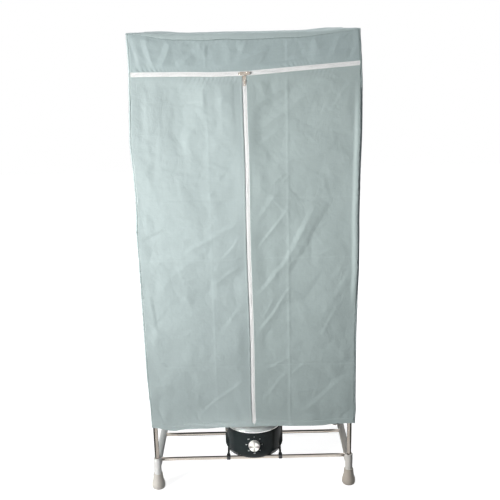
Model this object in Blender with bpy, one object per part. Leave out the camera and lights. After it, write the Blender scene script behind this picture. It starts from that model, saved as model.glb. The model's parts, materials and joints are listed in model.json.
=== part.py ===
"""Portable clothes dryer: a steel tube frame in a zipped fabric cover, with a round blower below.

Metres, +Z up, the front faces -Y. The origin is on the floor, under the middle of the cover.
Run with: blender --background --python part.py
"""

import math

import bmesh
import bpy
from mathutils import Matrix, Vector

# Whole object
OVERALL_HEIGHT = 1.550
POST_SPACING_X = 0.672
POST_SPACING_Y = 0.432
HEM_HEIGHT = 0.241
CLEARANCE = 0.0003
CUT_OVERRUN = 0.002
MERGE_DISTANCE = 0.000001

# Stainless tubes
TUBE_RADIUS = 0.008
TUBE_WALL = 0.0008
HANGING_ROD_RADIUS = 0.006
HANGING_ROD_SPACING = 0.160
MID_TIER_HEIGHT = 0.855
MID_ROD_RADIUS = 0.005
MID_ROD_SPACING = 0.200
POST_SIDES = 14
ROD_SIDES = 10

# Plastic connectors that the tubes plug into
SOCKET_WALL = 0.0029
SOCKET_DEPTH = 0.030
HUB_PROUD = 0.0013
HUB_BEVEL = 0.0020
MID_CLAMP_HEIGHT = 0.040

# Feet: a bell shaped cap on a moulded sleeve
SOLE_RADIUS = 0.0190
CAP_BULGE_RADIUS = 0.0235
CAP_BULGE_HEIGHT = 0.012
CAP_NECK_RADIUS = 0.0165
CAP_HEIGHT = 0.056
CAP_FLOOR = 0.010
CAP_ROUNDING = 0.0020
SOLE_RECESS_RADIUS = 0.0090
SOLE_RECESS_DEPTH = 0.0030
SLEEVE_WALL = 0.0047
SLEEVE_TOP = 0.115
SLEEVE_STOP = 0.060
SLEEVE_LEDGE = 0.0020
SLEEVE_CHAMFER = 0.0015

# Side bars of flat oval tube between the front and rear sleeves
BAR_HEIGHT_ABOVE_FLOOR = 0.088
BAR_WIDTH = 0.025
BAR_WALL = 0.0015
BAR_SLACK = 0.0006
BAR_END_STEPS = 4
COLLAR_WALL = 0.0025
COLLAR_LENGTH = 0.010

# Rails that carry the blower
RAIL_RADIUS = 0.0066
FRONT_RAIL_SETBACK = 0.037
RAIL_INSET = 0.018

# Blower housing, which sits a little to the right on its rails
BLOWER_X = 0.005
BLOWER_RADIUS = 0.104
BLOWER_TOP = 0.190
BLOWER_WALL = 0.0018
FOOT_TAPER = 0.007
FOOT_TAPER_HEIGHT = 0.016
SHELL_LIP_WIDTH = 0.006
SHELL_LIP_DEPTH = 0.0025
SKIRT_DROP = 0.0045
BASE_THICKNESS = 0.003
BASE_SLOT_WIDTH = 0.0045
BASE_SLOT_INNER = 0.036
BASE_SLOT_OUTER = 0.078
BASE_SLOTS = 12
CLIP_INSET = 0.012
CLIP_LENGTH = 0.020
CLIP_WALL = 0.0028
CLIP_GRIP = 0.004
ARM_WIDTH = 0.008
SHELL_SIDES = 36

# Silver dome and its grille
DOME_INSET = 0.0035
DOME_RIM_HEIGHT = 0.0045
DOME_HEIGHT = 0.026
DOME_WALL = 0.0012
DOME_STEPS = 4
OUTLET_RADIUS = 0.068
GRILLE_THICKNESS = 0.0016
GRILLE_DROP = 0.0025
GRILLE_LEDGE = 0.0025
GRILLE_HUB_RADIUS = 0.014
GRILLE_RING_WIDTH = 0.0030
GRILLE_RINGS = 3
GRILLE_SPOKES = 8
GRILLE_CELLS_PER_SPOKE = 3

# Timer and its knob
KNOB_HEIGHT = 0.145
KNOB_RADIUS = 0.020
KNOB_DEPTH = 0.0135
KNOB_SKIRT = 0.0015
KNOB_BEVEL = 0.0020
KNOB_GAP = 0.0008
KNOB_SIDES = 24
KNOB_NOTCH_WIDTH = 0.0014
KNOB_NOTCH_DEPTH = 0.0012
SHAFT_RADIUS = 0.003
SHAFT_DEPTH = 0.012
BUSH_WALL = 0.0016
TIMER_WIDTH = 0.044
TIMER_HEIGHT = 0.032
TIMER_DEPTH = 0.020

# Fan, motor and heater
MOTOR_RADIUS = 0.028
MOTOR_HEIGHT = 0.029
MOTOR_BELL_STEP = 0.004
MOTOR_SHAFT_RADIUS = 0.0025
MOTOR_SHAFT_LENGTH = 0.013
FAN_RADIUS = 0.068
FAN_HUB_RADIUS = 0.020
FAN_HUB_HEIGHT = 0.018
FAN_HUB_LIFT = 0.0015
FAN_BLADES = 7
FAN_BLADE_THICKNESS = 0.0014
FAN_BLADE_CHORD = 0.024
FAN_BLADE_ROOT = 0.003
FAN_PITCH_ROOT = math.radians(42)
FAN_PITCH_TIP = math.radians(24)
HEATER_HEIGHT = 0.167
HEATER_PLATE = 0.0015
HEATER_LENGTH = 0.104
HEATER_WIDTH = 0.062
HEATER_DEPTH = 0.011
HEATER_FRAME = 0.005
HEATER_FIN = 0.0016
HEATER_FINS = 7

# Bushing for the cord at the back of the blower
GLAND_HEIGHT = 0.121
GLAND_RADIUS = 0.005
GLAND_BORE = 0.003
GLAND_FLANGE = 0.0030
GLAND_FLANGE_DEPTH = 0.0020
GLAND_NOSE = 0.006

# Fabric cover
FABRIC = 0.0012
ZIP_DROP = 0.1255
ZIP_LEFT_RISE = 0.004
ZIP_RIGHT_RISE = 0.0245
ZIP_TOP_LEAN = 0.0006
ZIP_FOOT_LEAN = 0.0062
ZIP_HALF_WIDTH = 0.007
HEM_SWING = 0.004
HEM_PITCH = 0.46
FOLD_DEPTH = 0.0020
FOLD_PITCH = 0.125
FOLD_LEAN_PITCH = 1.10
DIAGONAL_DEPTH = 0.0011
DIAGONAL_PITCH = 0.31
HEADER_FOLD_DEPTH = 0.0012
HEADER_FOLD_PITCH = 0.105
SIDE_BULGE = 0.007
SIDE_FOLD_DEPTH = 0.0022
SIDE_FOLD_PITCH = 0.13
CORNER_FLAT = 0.032
CORNER_EASE = 0.060
EDGE_EASE = 0.050
TOP_EASE = 0.090
FLAP_COLUMNS = 10
FLAP_ROWS = 14
WALL_ROWS = 10
HEADER_ROWS = 3
TOP_COLUMNS = 6
TOP_ROWS = 3

# Zip tapes, their coil beads and sliders
TAPE_WIDTH = 0.012
TAPE_THICKNESS = 0.0008
COIL_GAP = 0.0007
COIL_WIDTH = 0.0030
COIL_PROUD = 0.0008
COIL_CHAMFER = 0.0006
TAPE_FOOT = 0.012
SLIDER_WIDTH = 0.0104
SLIDER_LENGTH = 0.013
SLIDER_PLATE = 0.0009
SLIDER_FLANGE = 0.0008
SLIDER_FLANGE_DROP = 0.0018
SLIDER_BRIDGE = 0.0007
SLIDER_BRIDGE_LENGTH = 0.0050
SLIDER_SPACING = 0.0004
NOTCH_MARGIN = 0.0010
BAIL_LENGTH = 0.0070
BAIL_WIDTH = 0.0014
BAIL_BAR = 0.0009
BAIL_LEG = 0.0010
PULL_PIN_RADIUS = 0.0006
PIN_SIDES = 8
PULL_THICKNESS = 0.0010
PULL_GAP = 0.0004
PULL_WINDOW_LENGTH = 0.0075
PULL_WINDOW_WIDTH = 0.0030
PULL_HALF_WIDTH = 0.0034
LONG_PULL = 0.024
SHORT_PULL = 0.0110
PULL_TAIL_SLOT = 0.0030
PULL_TAIL_MARGIN = 0.0022

# Worked out from the sizes above
TURN = 2 * math.pi
QUARTER = math.pi / 2
HALF_X = POST_SPACING_X / 2
HALF_Y = POST_SPACING_Y / 2
SOCKET_RADIUS = TUBE_RADIUS + CLEARANCE
ARM_RADIUS = SOCKET_RADIUS + SOCKET_WALL
HUB_HALF = ARM_RADIUS + HUB_PROUD
SOCKET_STOP = ARM_RADIUS + CLEARANCE
ARM_REACH = SOCKET_STOP + SOCKET_DEPTH
COVER_X = HALF_X + HUB_HALF + CLEARANCE + FABRIC
COVER_Y = HALF_Y + HUB_HALF + CLEARANCE + FABRIC
LINING_Y = COVER_Y - FABRIC
TOP_UNDERSIDE = OVERALL_HEIGHT - FABRIC
TOP_TIER_HEIGHT = TOP_UNDERSIDE - CLEARANCE - HUB_HALF
TOP_RAIL_SAG = HUB_HALF - TUBE_RADIUS
TOP_ROD_SAG = HUB_HALF - HANGING_ROD_RADIUS
SLEEVE_RADIUS = SOCKET_RADIUS + SLEEVE_WALL
SLEEVE_FOOT = CAP_FLOOR + CLEARANCE
RAIL_SPACING = 2 * (BLOWER_RADIUS - RAIL_INSET)
CLIP_SPACING = 2 * (BLOWER_RADIUS - CLIP_INSET)
FRONT_RAIL_Y = FRONT_RAIL_SETBACK - HALF_Y
REAR_RAIL_Y = FRONT_RAIL_Y + RAIL_SPACING
BLOWER_Y = (FRONT_RAIL_Y + REAR_RAIL_Y) / 2
RAIL_BORE = RAIL_RADIUS + CLEARANCE
BAR_THICKNESS = 2 * (RAIL_BORE + BAR_SLACK + BAR_WALL)
BASE_BOTTOM = BAR_HEIGHT_ABOVE_FLOOR + RAIL_BORE
BASE_TOP = BASE_BOTTOM + BASE_THICKNESS
SHELL_BOTTOM = BASE_BOTTOM - SKIRT_DROP
SHELL_FOOT_RADIUS = BLOWER_RADIUS - FOOT_TAPER
SHELL_INSIDE = BLOWER_RADIUS - BLOWER_WALL
SHELL_FOOT_INSIDE = SHELL_FOOT_RADIUS - BLOWER_WALL
BASE_RADIUS = SHELL_FOOT_INSIDE + FOOT_TAPER * SKIRT_DROP / FOOT_TAPER_HEIGHT - CLEARANCE
NOTCH_RADIUS = RAIL_BORE + CLEARANCE
DOME_BOTTOM = BLOWER_TOP + CLEARANCE
DOME_RADIUS = BLOWER_RADIUS - DOME_INSET
DOME_TOP = DOME_BOTTOM + DOME_HEIGHT
GRILLE_TOP = DOME_TOP - GRILLE_DROP
GRILLE_RADIUS = OUTLET_RADIUS - CLEARANCE
KNOB_BACK = BLOWER_Y - BLOWER_RADIUS - KNOB_GAP
BUSH_BORE = SHAFT_RADIUS + CLEARANCE
BUSH_RADIUS = BUSH_BORE + BUSH_WALL
MOTOR_BOTTOM = BASE_TOP + CLEARANCE
MOTOR_TOP = MOTOR_BOTTOM + MOTOR_HEIGHT
FAN_BOTTOM = MOTOR_TOP + FAN_HUB_LIFT
ZIP_HEIGHT = OVERALL_HEIGHT - ZIP_DROP
ZIP_LEFT_SLOPE = -ZIP_LEFT_RISE / COVER_X
ZIP_RIGHT_SLOPE = ZIP_RIGHT_RISE / COVER_X
ZIP_LEAN_SLOPE = (ZIP_TOP_LEAN - ZIP_FOOT_LEAN) / (ZIP_HEIGHT - HEM_HEIGHT)
COIL_EDGE = COIL_GAP + COIL_WIDTH
TAPE_FRONT = -FABRIC - CLEARANCE
TAPE_BACK = TAPE_FRONT - TAPE_THICKNESS
PLATE_BACK = COIL_PROUD + CLEARANCE
PLATE_FRONT = PLATE_BACK + SLIDER_PLATE
REAR_PLATE_FRONT = TAPE_BACK - CLEARANCE
REAR_PLATE_BACK = REAR_PLATE_FRONT - SLIDER_PLATE
PIN_CENTRE = PLATE_FRONT + CLEARANCE + PULL_THICKNESS / 2
BAIL_INSIDE = PIN_CENTRE + PULL_PIN_RADIUS + PULL_GAP
BAIL_TOP = BAIL_INSIDE + BAIL_BAR
SIDE_SLIDER_X = SLIDER_SPACING + SLIDER_LENGTH / 2
NOTCH_HALF_WIDTH = SLIDER_WIDTH / 2 + NOTCH_MARGIN
MAIN_SLIDER_DROP = SLIDER_WIDTH / 2 + NOTCH_MARGIN + SLIDER_LENGTH / 2

CORNERS = (
    ("front_left", -1, -1),
    ("front_right", 1, -1),
    ("rear_right", 1, 1),
    ("rear_left", -1, 1),
)
SIDES = (("left", -1), ("right", 1))

MATERIAL_LOOKS = {
    "stainless": ((0.62, 0.59, 0.56), 0.22, 1.0),
    "side_bar_paint": ((0.62, 0.61, 0.60), 0.38, 0.0),
    "white_plastic": ((0.72, 0.71, 0.68), 0.42, 0.0),
    "cap_rubber": ((0.60, 0.58, 0.53), 0.62, 0.0),
    "connector_plastic": ((0.55, 0.56, 0.56), 0.45, 0.0),
    "black_enamel": ((0.018, 0.021, 0.021), 0.20, 0.0),
    "black_plastic": ((0.020, 0.020, 0.020), 0.45, 0.0),
    "silver_dome": ((0.56, 0.58, 0.57), 0.30, 1.0),
    "spun_aluminium": ((0.80, 0.80, 0.80), 0.20, 1.0),
    "motor_steel": ((0.40, 0.40, 0.41), 0.35, 1.0),
    "fan_plastic": ((0.30, 0.31, 0.32), 0.50, 0.0),
    "heater_ceramic": ((0.58, 0.56, 0.52), 0.60, 0.0),
    "cover_fabric": ((0.38, 0.46, 0.45), 0.62, 0.0),
    "zip_tape": ((0.86, 0.87, 0.87), 0.60, 0.0),
    "zip_metal": ((0.66, 0.63, 0.57), 0.30, 1.0),
}


def material(name):
    """The Principled material of one finish, made once."""
    found = bpy.data.materials.get(name)
    if found:
        return found
    colour, roughness, metallic = MATERIAL_LOOKS[name]
    made = bpy.data.materials.new(name)
    made.use_nodes = True
    shader = made.node_tree.nodes["Principled BSDF"]
    shader.inputs["Base Color"].default_value = (*colour, 1.0)
    shader.inputs["Roughness"].default_value = roughness
    shader.inputs["Metallic"].default_value = metallic
    made.diffuse_color = (*colour, 1.0)
    return made


def smoothstep(value):
    """0 below 0, 1 above 1, and an eased step between."""
    clamped = min(max(value, 0.0), 1.0)
    return clamped * clamped * (3 - 2 * clamped)


def add_object(name, mesh_source, finish, smooth=True):
    """Turn a bmesh into a scene object with its outward faces and its material."""
    bmesh.ops.remove_doubles(mesh_source, verts=mesh_source.verts, dist=MERGE_DISTANCE)
    bmesh.ops.recalc_face_normals(mesh_source, faces=mesh_source.faces)
    mesh = bpy.data.meshes.new(name)
    mesh_source.to_mesh(mesh)
    mesh_source.free()
    mesh.materials.append(material(finish))
    if smooth:
        mesh.shade_smooth()
        mesh.set_sharp_from_angle(angle=math.radians(35))
    made = bpy.data.objects.new(name, mesh)
    bpy.context.scene.collection.objects.link(made)
    return made


def set_origin(target, point):
    """Move an object's origin to a point without moving its mesh or its helpers."""
    shift = Matrix.Translation(-Vector(point))
    for owner in (target, *target.children):
        owner.data.transform(shift)
    target.location = point


def add_boolean(target, shape, operation):
    """Cut or fuse a bmesh shape, given in the target's own frame, with the target."""
    helper = add_object(target.name + "." + operation.lower(), shape, "white_plastic", smooth=False)
    helper.hide_render = True
    helper.display_type = "WIRE"
    helper.parent = target
    modifier = target.modifiers.new(helper.name, "BOOLEAN")
    modifier.operation = operation
    modifier.solver = "EXACT"
    modifier.object = helper


def cut(target, shapes):
    """Take bmesh shapes that don't touch one another out of the target."""
    add_boolean(target, merged(shapes), "DIFFERENCE")


def fuse(target, shape):
    """Join one bmesh shape to the target."""
    add_boolean(target, shape, "UNION")


def merged(shapes):
    """Several closed shapes in one bmesh."""
    result = bmesh.new()
    for shape in shapes:
        holder = bpy.data.meshes.new("holder")
        bmesh.ops.recalc_face_normals(shape, faces=shape.faces)
        shape.to_mesh(holder)
        shape.free()
        result.from_mesh(holder)
        bpy.data.meshes.remove(holder)
    return result


def box(low, high):
    """A box between two opposite corners."""
    shape = bmesh.new()
    low = Vector(low)
    size = Vector(high) - low
    placed = Matrix.Translation(low + size / 2) @ Matrix.Diagonal((*size, 1.0))
    bmesh.ops.create_cube(shape, size=1.0, matrix=placed)
    return shape


def turned(profile, steps):
    """A closed profile of (radius, height) points turned round Z."""
    shape = bmesh.new()
    verts = [shape.verts.new((radius, 0.0, height)) for radius, height in profile]
    edges = []
    for index, vert in enumerate(verts):
        following = verts[(index + 1) % len(verts)]
        if vert.co.x > 0 or following.co.x > 0:
            edges.append(shape.edges.new((vert, following)))
    bmesh.ops.spin(
        shape,
        geom=verts + edges,
        cent=(0, 0, 0),
        axis=(0, 0, 1),
        angle=TURN,
        steps=steps,
        use_merge=True,
    )
    bmesh.ops.remove_doubles(shape, verts=shape.verts, dist=MERGE_DISTANCE)
    return shape


def aimed(shape, start, direction):
    """Turn a shape's +Z to a direction and carry its origin to a point."""
    turn = Vector(direction).to_track_quat("Z", "Y").to_matrix().to_4x4()
    bmesh.ops.transform(shape, matrix=Matrix.Translation(start) @ turn, verts=shape.verts)
    return shape


def rod(start, end, radius, steps, twist_share=0):
    """A solid round bar between two points, its facets turned by a share of one step."""
    start = Vector(start)
    run = Vector(end) - start
    profile = [(0, 0), (radius, 0), (radius, run.length), (0, run.length)]
    shape = turned(profile, steps)
    twist = Matrix.Rotation(TURN * twist_share / steps, 4, "Z")
    bmesh.ops.transform(shape, matrix=twist, verts=shape.verts)
    return aimed(shape, start, run)


def bore(start, end, radius, steps=ROD_SIDES):
    """A cutter whose flats keep the named radius clear all round."""
    return rod(start, end, radius / math.cos(math.pi / steps), steps)


def pipe(start, end, radius, wall, steps):
    """An open ended tube between two points."""
    start = Vector(start)
    run = Vector(end) - start
    inside = radius - wall
    profile = [(inside, 0), (radius, 0), (radius, run.length), (inside, run.length)]
    return aimed(turned(profile, steps), start, run)


def prism(outline, depth):
    """An outline of (x, z) points drawn out along +Y from y = 0."""
    shape = bmesh.new()
    face = shape.faces.new([shape.verts.new((x, 0.0, z)) for x, z in outline])
    drawn = bmesh.ops.extrude_face_region(shape, geom=[face])
    moved = [item for item in drawn["geom"] if isinstance(item, bmesh.types.BMVert)]
    bmesh.ops.translate(shape, verts=moved, vec=(0, depth, 0))
    return shape


def oval_outline(width, thickness):
    """A flat oval: two half circles joined by straight runs."""
    radius = thickness / 2
    straight = width / 2 - radius
    points = []
    for side in (1, -1):
        for step in range(BAR_END_STEPS + 1):
            angle = side * (step / BAR_END_STEPS * math.pi - QUARTER)
            points.append((side * (straight + radius * math.cos(angle)), radius * math.sin(angle)))
    return points


def oval_bar(width, thickness, low_y, high_y, x, z):
    """A flat oval bar along Y."""
    shape = prism(oval_outline(width, thickness), high_y - low_y)
    bmesh.ops.translate(shape, verts=shape.verts, vec=(x, low_y, z))
    return shape


def build_foot_cap(corner, side_x, side_y):
    """A bell shaped cap with a socket for the sleeve and a dished sole."""
    socket = SLEEVE_RADIUS + CLEARANCE
    flare = CAP_BULGE_RADIUS - CAP_NECK_RADIUS
    rise = CAP_HEIGHT - CAP_BULGE_HEIGHT
    profile = [
        (0, SOLE_RECESS_DEPTH),
        (SOLE_RECESS_RADIUS, SOLE_RECESS_DEPTH),
        (SOLE_RECESS_RADIUS, 0),
        (SOLE_RADIUS, 0),
        (CAP_BULGE_RADIUS, CAP_BULGE_HEIGHT - CAP_ROUNDING),
        (CAP_BULGE_RADIUS, CAP_BULGE_HEIGHT + CAP_ROUNDING),
    ]
    flank_shares = ((0.62, 0.30), (0.22, 0.62))
    for flare_share, rise_share in flank_shares:
        profile.append((CAP_NECK_RADIUS + flare * flare_share, CAP_BULGE_HEIGHT + rise * rise_share))
    profile += [
        (CAP_NECK_RADIUS, CAP_HEIGHT - CAP_ROUNDING),
        (CAP_NECK_RADIUS - CAP_ROUNDING / 2, CAP_HEIGHT),
        (socket, CAP_HEIGHT),
        (socket, CAP_FLOOR),
        (0, CAP_FLOOR),
    ]
    cap = add_object("foot_cap_" + corner, turned(profile, POST_SIDES), "cap_rubber")
    cap.location = (side_x * HALF_X, side_y * HALF_Y, 0)


def build_foot_sleeve(corner, side_x, side_y):
    """A sleeve round the post's foot, with a collar that takes the side bar's end."""
    ledge = SOCKET_RADIUS - SLEEVE_LEDGE
    profile = [
        (ledge, SLEEVE_FOOT),
        (SLEEVE_RADIUS, SLEEVE_FOOT),
        (SLEEVE_RADIUS, SLEEVE_TOP - SLEEVE_CHAMFER),
        (SLEEVE_RADIUS - SLEEVE_CHAMFER, SLEEVE_TOP),
        (SOCKET_RADIUS, SLEEVE_TOP),
        (SOCKET_RADIUS, SLEEVE_STOP),
        (ledge, SLEEVE_STOP),
    ]
    sleeve = add_object("foot_sleeve_" + corner, turned(profile, POST_SIDES), "white_plastic")
    inward = -side_y
    root = SOCKET_RADIUS + SLEEVE_WALL / 2
    mouth = SLEEVE_RADIUS + COLLAR_LENGTH
    low, high = sorted((inward * root, inward * mouth))
    collar_width = BAR_WIDTH + 2 * COLLAR_WALL
    collar_thickness = BAR_THICKNESS + 2 * COLLAR_WALL
    collar = oval_bar(collar_width, collar_thickness, low, high, 0, BAR_HEIGHT_ABOVE_FLOOR)
    fuse(sleeve, collar)
    low, high = sorted((inward * SLEEVE_RADIUS, inward * (mouth + CUT_OVERRUN)))
    pocket_width = BAR_WIDTH + 2 * CLEARANCE
    pocket_thickness = BAR_THICKNESS + 2 * CLEARANCE
    cut(sleeve, [oval_bar(pocket_width, pocket_thickness, low, high, 0, BAR_HEIGHT_ABOVE_FLOOR)])
    sleeve.location = (side_x * HALF_X, side_y * HALF_Y, 0)


def build_side_bar(side_name, side):
    """A flat oval tube from front to rear, bored on its inner face for the blower rails."""
    end = HALF_Y - SLEEVE_RADIUS - CLEARANCE
    outline = oval_bar(BAR_WIDTH, BAR_THICKNESS, -end, end, 0, 0)
    bar = add_object("side_bar_" + side_name, outline, "side_bar_paint")
    bore_width = BAR_WIDTH - 2 * BAR_WALL
    bore_thickness = BAR_THICKNESS - 2 * BAR_WALL
    overrun = end + CUT_OVERRUN
    cut(bar, [oval_bar(bore_width, bore_thickness, -overrun, overrun, 0, 0)])
    inner = -side * (BAR_WIDTH / 2 + CUT_OVERRUN)
    holes = []
    for rail_y in (FRONT_RAIL_Y, REAR_RAIL_Y):
        holes.append(bore((inner, rail_y, 0), (0, rail_y, 0), RAIL_BORE))
    cut(bar, holes)
    bar.location = (side * HALF_X, 0, BAR_HEIGHT_ABOVE_FLOOR)


def build_blower_rail(place, rail_y):
    """A round rail across the dryer, plugged through the inner faces of both side bars."""
    reach = HALF_X + (BAR_WIDTH - BAR_THICKNESS) / 2
    height = BAR_HEIGHT_ABOVE_FLOOR
    shape = pipe((-reach, rail_y, height), (reach, rail_y, height), RAIL_RADIUS, TUBE_WALL, ROD_SIDES)
    add_object("blower_rail_" + place, shape, "stainless")


def build_post(corner, side_x, side_y):
    """An upright tube from the sleeve's ledge to the top connector."""
    foot = (side_x * HALF_X, side_y * HALF_Y, SLEEVE_STOP + CLEARANCE)
    head = (side_x * HALF_X, side_y * HALF_Y, TOP_TIER_HEIGHT - SOCKET_STOP - CLEARANCE)
    add_object("post_" + corner, pipe(foot, head, TUBE_RADIUS, TUBE_WALL, POST_SIDES), "stainless")


def build_mid_connector(corner, side_x, side_y):
    """A clamp round the post with a socket for the side rail of the middle tier."""
    half = MID_CLAMP_HEIGHT / 2
    body = rod((0, 0, -half), (0, 0, half), ARM_RADIUS, ROD_SIDES)
    clamp = add_object("mid_connector_" + corner, body, "connector_plastic")
    inward = -side_y
    facet_twist_share = 0.5
    fuse(clamp, rod((0, 0, 0), (0, inward * ARM_REACH, 0), ARM_RADIUS, ROD_SIDES, facet_twist_share))
    half += CUT_OVERRUN
    post_bore = bore((0, 0, -half), (0, 0, half), SOCKET_RADIUS)
    mouth = inward * (ARM_REACH + CUT_OVERRUN)
    socket = bore((0, inward * SOCKET_STOP, 0), (0, mouth, 0), SOCKET_RADIUS)
    cut(clamp, [post_bore, socket])
    clamp.location = (side_x * HALF_X, side_y * HALF_Y, MID_TIER_HEIGHT)


def build_top_connector(corner, side_x, side_y):
    """A three way corner: a square hub with sockets for the post and both rails."""
    hub = box((-HUB_HALF, -HUB_HALF, -HUB_HALF), (HUB_HALF, HUB_HALF, HUB_HALF))
    bmesh.ops.bevel(hub, geom=hub.edges, offset=HUB_BEVEL, segments=1, affect="EDGES")
    connector = add_object("top_connector_" + corner, hub, "connector_plastic")
    ways = (Vector((0, 0, -1)), Vector((-side_x, 0, 0)), Vector((0, -side_y, 0)))
    twist_shares = (0.2, 0.5, 0.8)
    for way, twist_share in zip(ways, twist_shares):
        fuse(connector, rod((0, 0, 0), way * ARM_REACH, ARM_RADIUS, ROD_SIDES, twist_share))
    mouth = ARM_REACH + CUT_OVERRUN
    cut(connector, [bore(way * SOCKET_STOP, way * mouth, SOCKET_RADIUS) for way in ways])
    connector.location = (side_x * HALF_X, side_y * HALF_Y, TOP_TIER_HEIGHT)


def build_long_rail(place, side_y):
    """A top rail along X between two corner connectors."""
    end = HALF_X - SOCKET_STOP - CLEARANCE
    low = (-end, side_y * HALF_Y, TOP_TIER_HEIGHT)
    high = (end, side_y * HALF_Y, TOP_TIER_HEIGHT)
    add_object("top_long_rail_" + place, pipe(low, high, TUBE_RADIUS, TUBE_WALL, ROD_SIDES), "stainless")


def build_side_rail(name, side, height, rod_spacing, rod_radius):
    """A rail along Y whose inner wall is bored for the ends of two rods."""
    end = HALF_Y - SOCKET_STOP - CLEARANCE
    rail = add_object(name, pipe((0, -end, 0), (0, end, 0), TUBE_RADIUS, TUBE_WALL, ROD_SIDES), "stainless")
    inner = -side * (TUBE_RADIUS + CUT_OVERRUN)
    holes = []
    for rod_y in (-rod_spacing / 2, rod_spacing / 2):
        holes.append(bore((inner, rod_y, 0), (0, rod_y, 0), rod_radius + CLEARANCE))
    cut(rail, holes)
    rail.location = (side * HALF_X, 0, height)


def build_cross_rods(name, height, spacing, radius):
    """Two rods along X, plugged into the side rails of one tier."""
    reach = HALF_X + math.sqrt((TUBE_RADIUS - TUBE_WALL) ** 2 - radius**2) - CLEARANCE
    for place, side_y in (("front", -1), ("rear", 1)):
        rod_y = side_y * spacing / 2
        shape = pipe((-reach, rod_y, height), (reach, rod_y, height), radius, TUBE_WALL, ROD_SIDES)
        add_object(name + "_" + place, shape, "stainless")


def build_frame():
    """Feet, posts, side bars, blower rails and both tiers."""
    for corner, side_x, side_y in CORNERS:
        build_foot_cap(corner, side_x, side_y)
        build_foot_sleeve(corner, side_x, side_y)
        build_post(corner, side_x, side_y)
        build_mid_connector(corner, side_x, side_y)
        build_top_connector(corner, side_x, side_y)
    for side_name, side in SIDES:
        build_side_bar(side_name, side)
        build_side_rail("mid_side_rail_" + side_name, side, MID_TIER_HEIGHT, MID_ROD_SPACING, MID_ROD_RADIUS)
        build_side_rail(
            "top_side_rail_" + side_name, side, TOP_TIER_HEIGHT, HANGING_ROD_SPACING, HANGING_ROD_RADIUS
        )
    build_blower_rail("front", FRONT_RAIL_Y)
    build_blower_rail("rear", REAR_RAIL_Y)
    build_long_rail("front", -1)
    build_long_rail("rear", 1)
    build_cross_rods("mid_rod", MID_TIER_HEIGHT, MID_ROD_SPACING, MID_ROD_RADIUS)
    build_cross_rods("hanging_rod", TOP_TIER_HEIGHT, HANGING_ROD_SPACING, HANGING_ROD_RADIUS)


def build_blower_base():
    """A slotted floor plate inside the drum's skirt. Two arms under the drum's sides carry it
    on the rails, with a clip at each end."""
    plate = turned(
        [
            (0, BASE_BOTTOM),
            (BASE_RADIUS, BASE_BOTTOM),
            (BASE_RADIUS, BASE_TOP),
            (0, BASE_TOP),
        ],
        SHELL_SIDES,
    )
    base = add_object("blower_base", plate, "black_plastic")
    half_spacing = RAIL_SPACING / 2
    clip_half = RAIL_BORE + CLIP_WALL
    grip_bottom = BAR_HEIGHT_ABOVE_FLOOR - CLIP_GRIP
    inset_share = 0.25
    inset = BASE_THICKNESS * inset_share
    for side_x in (-1, 1):
        clip_x = side_x * CLIP_SPACING / 2
        low = (clip_x - ARM_WIDTH / 2, -half_spacing, BASE_BOTTOM + inset)
        high = (clip_x + ARM_WIDTH / 2, half_spacing, BASE_TOP - inset)
        fuse(base, box(low, high))
        for side_y in (-1, 1):
            clip_y = side_y * half_spacing
            low = (clip_x - CLIP_LENGTH / 2, clip_y - clip_half, grip_bottom)
            high = (clip_x + CLIP_LENGTH / 2, clip_y + clip_half, BASE_TOP)
            fuse(base, box(low, high))
    reach = (CLIP_SPACING + CLIP_LENGTH) / 2 + CUT_OVERRUN
    cutters = []
    for side_y in (-1, 1):
        rail_y = side_y * half_spacing
        start = (-reach, rail_y, BAR_HEIGHT_ABOVE_FLOOR)
        end = (reach, rail_y, BAR_HEIGHT_ABOVE_FLOOR)
        cutters.append(bore(start, end, RAIL_BORE))
    cut(base, cutters)
    slots = []
    turn_share = 0.5
    for index in range(BASE_SLOTS):
        slot = box(
            (BASE_SLOT_INNER, -BASE_SLOT_WIDTH / 2, BASE_BOTTOM - CUT_OVERRUN),
            (BASE_SLOT_OUTER, BASE_SLOT_WIDTH / 2, BASE_TOP + CUT_OVERRUN),
        )
        turn = Matrix.Rotation(TURN * (index + turn_share) / BASE_SLOTS, 4, "Z")
        bmesh.ops.transform(slot, matrix=turn, verts=slot.verts)
        slots.append(slot)
    cut(base, slots)
    base.location = (BLOWER_X, BLOWER_Y, 0)


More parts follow.
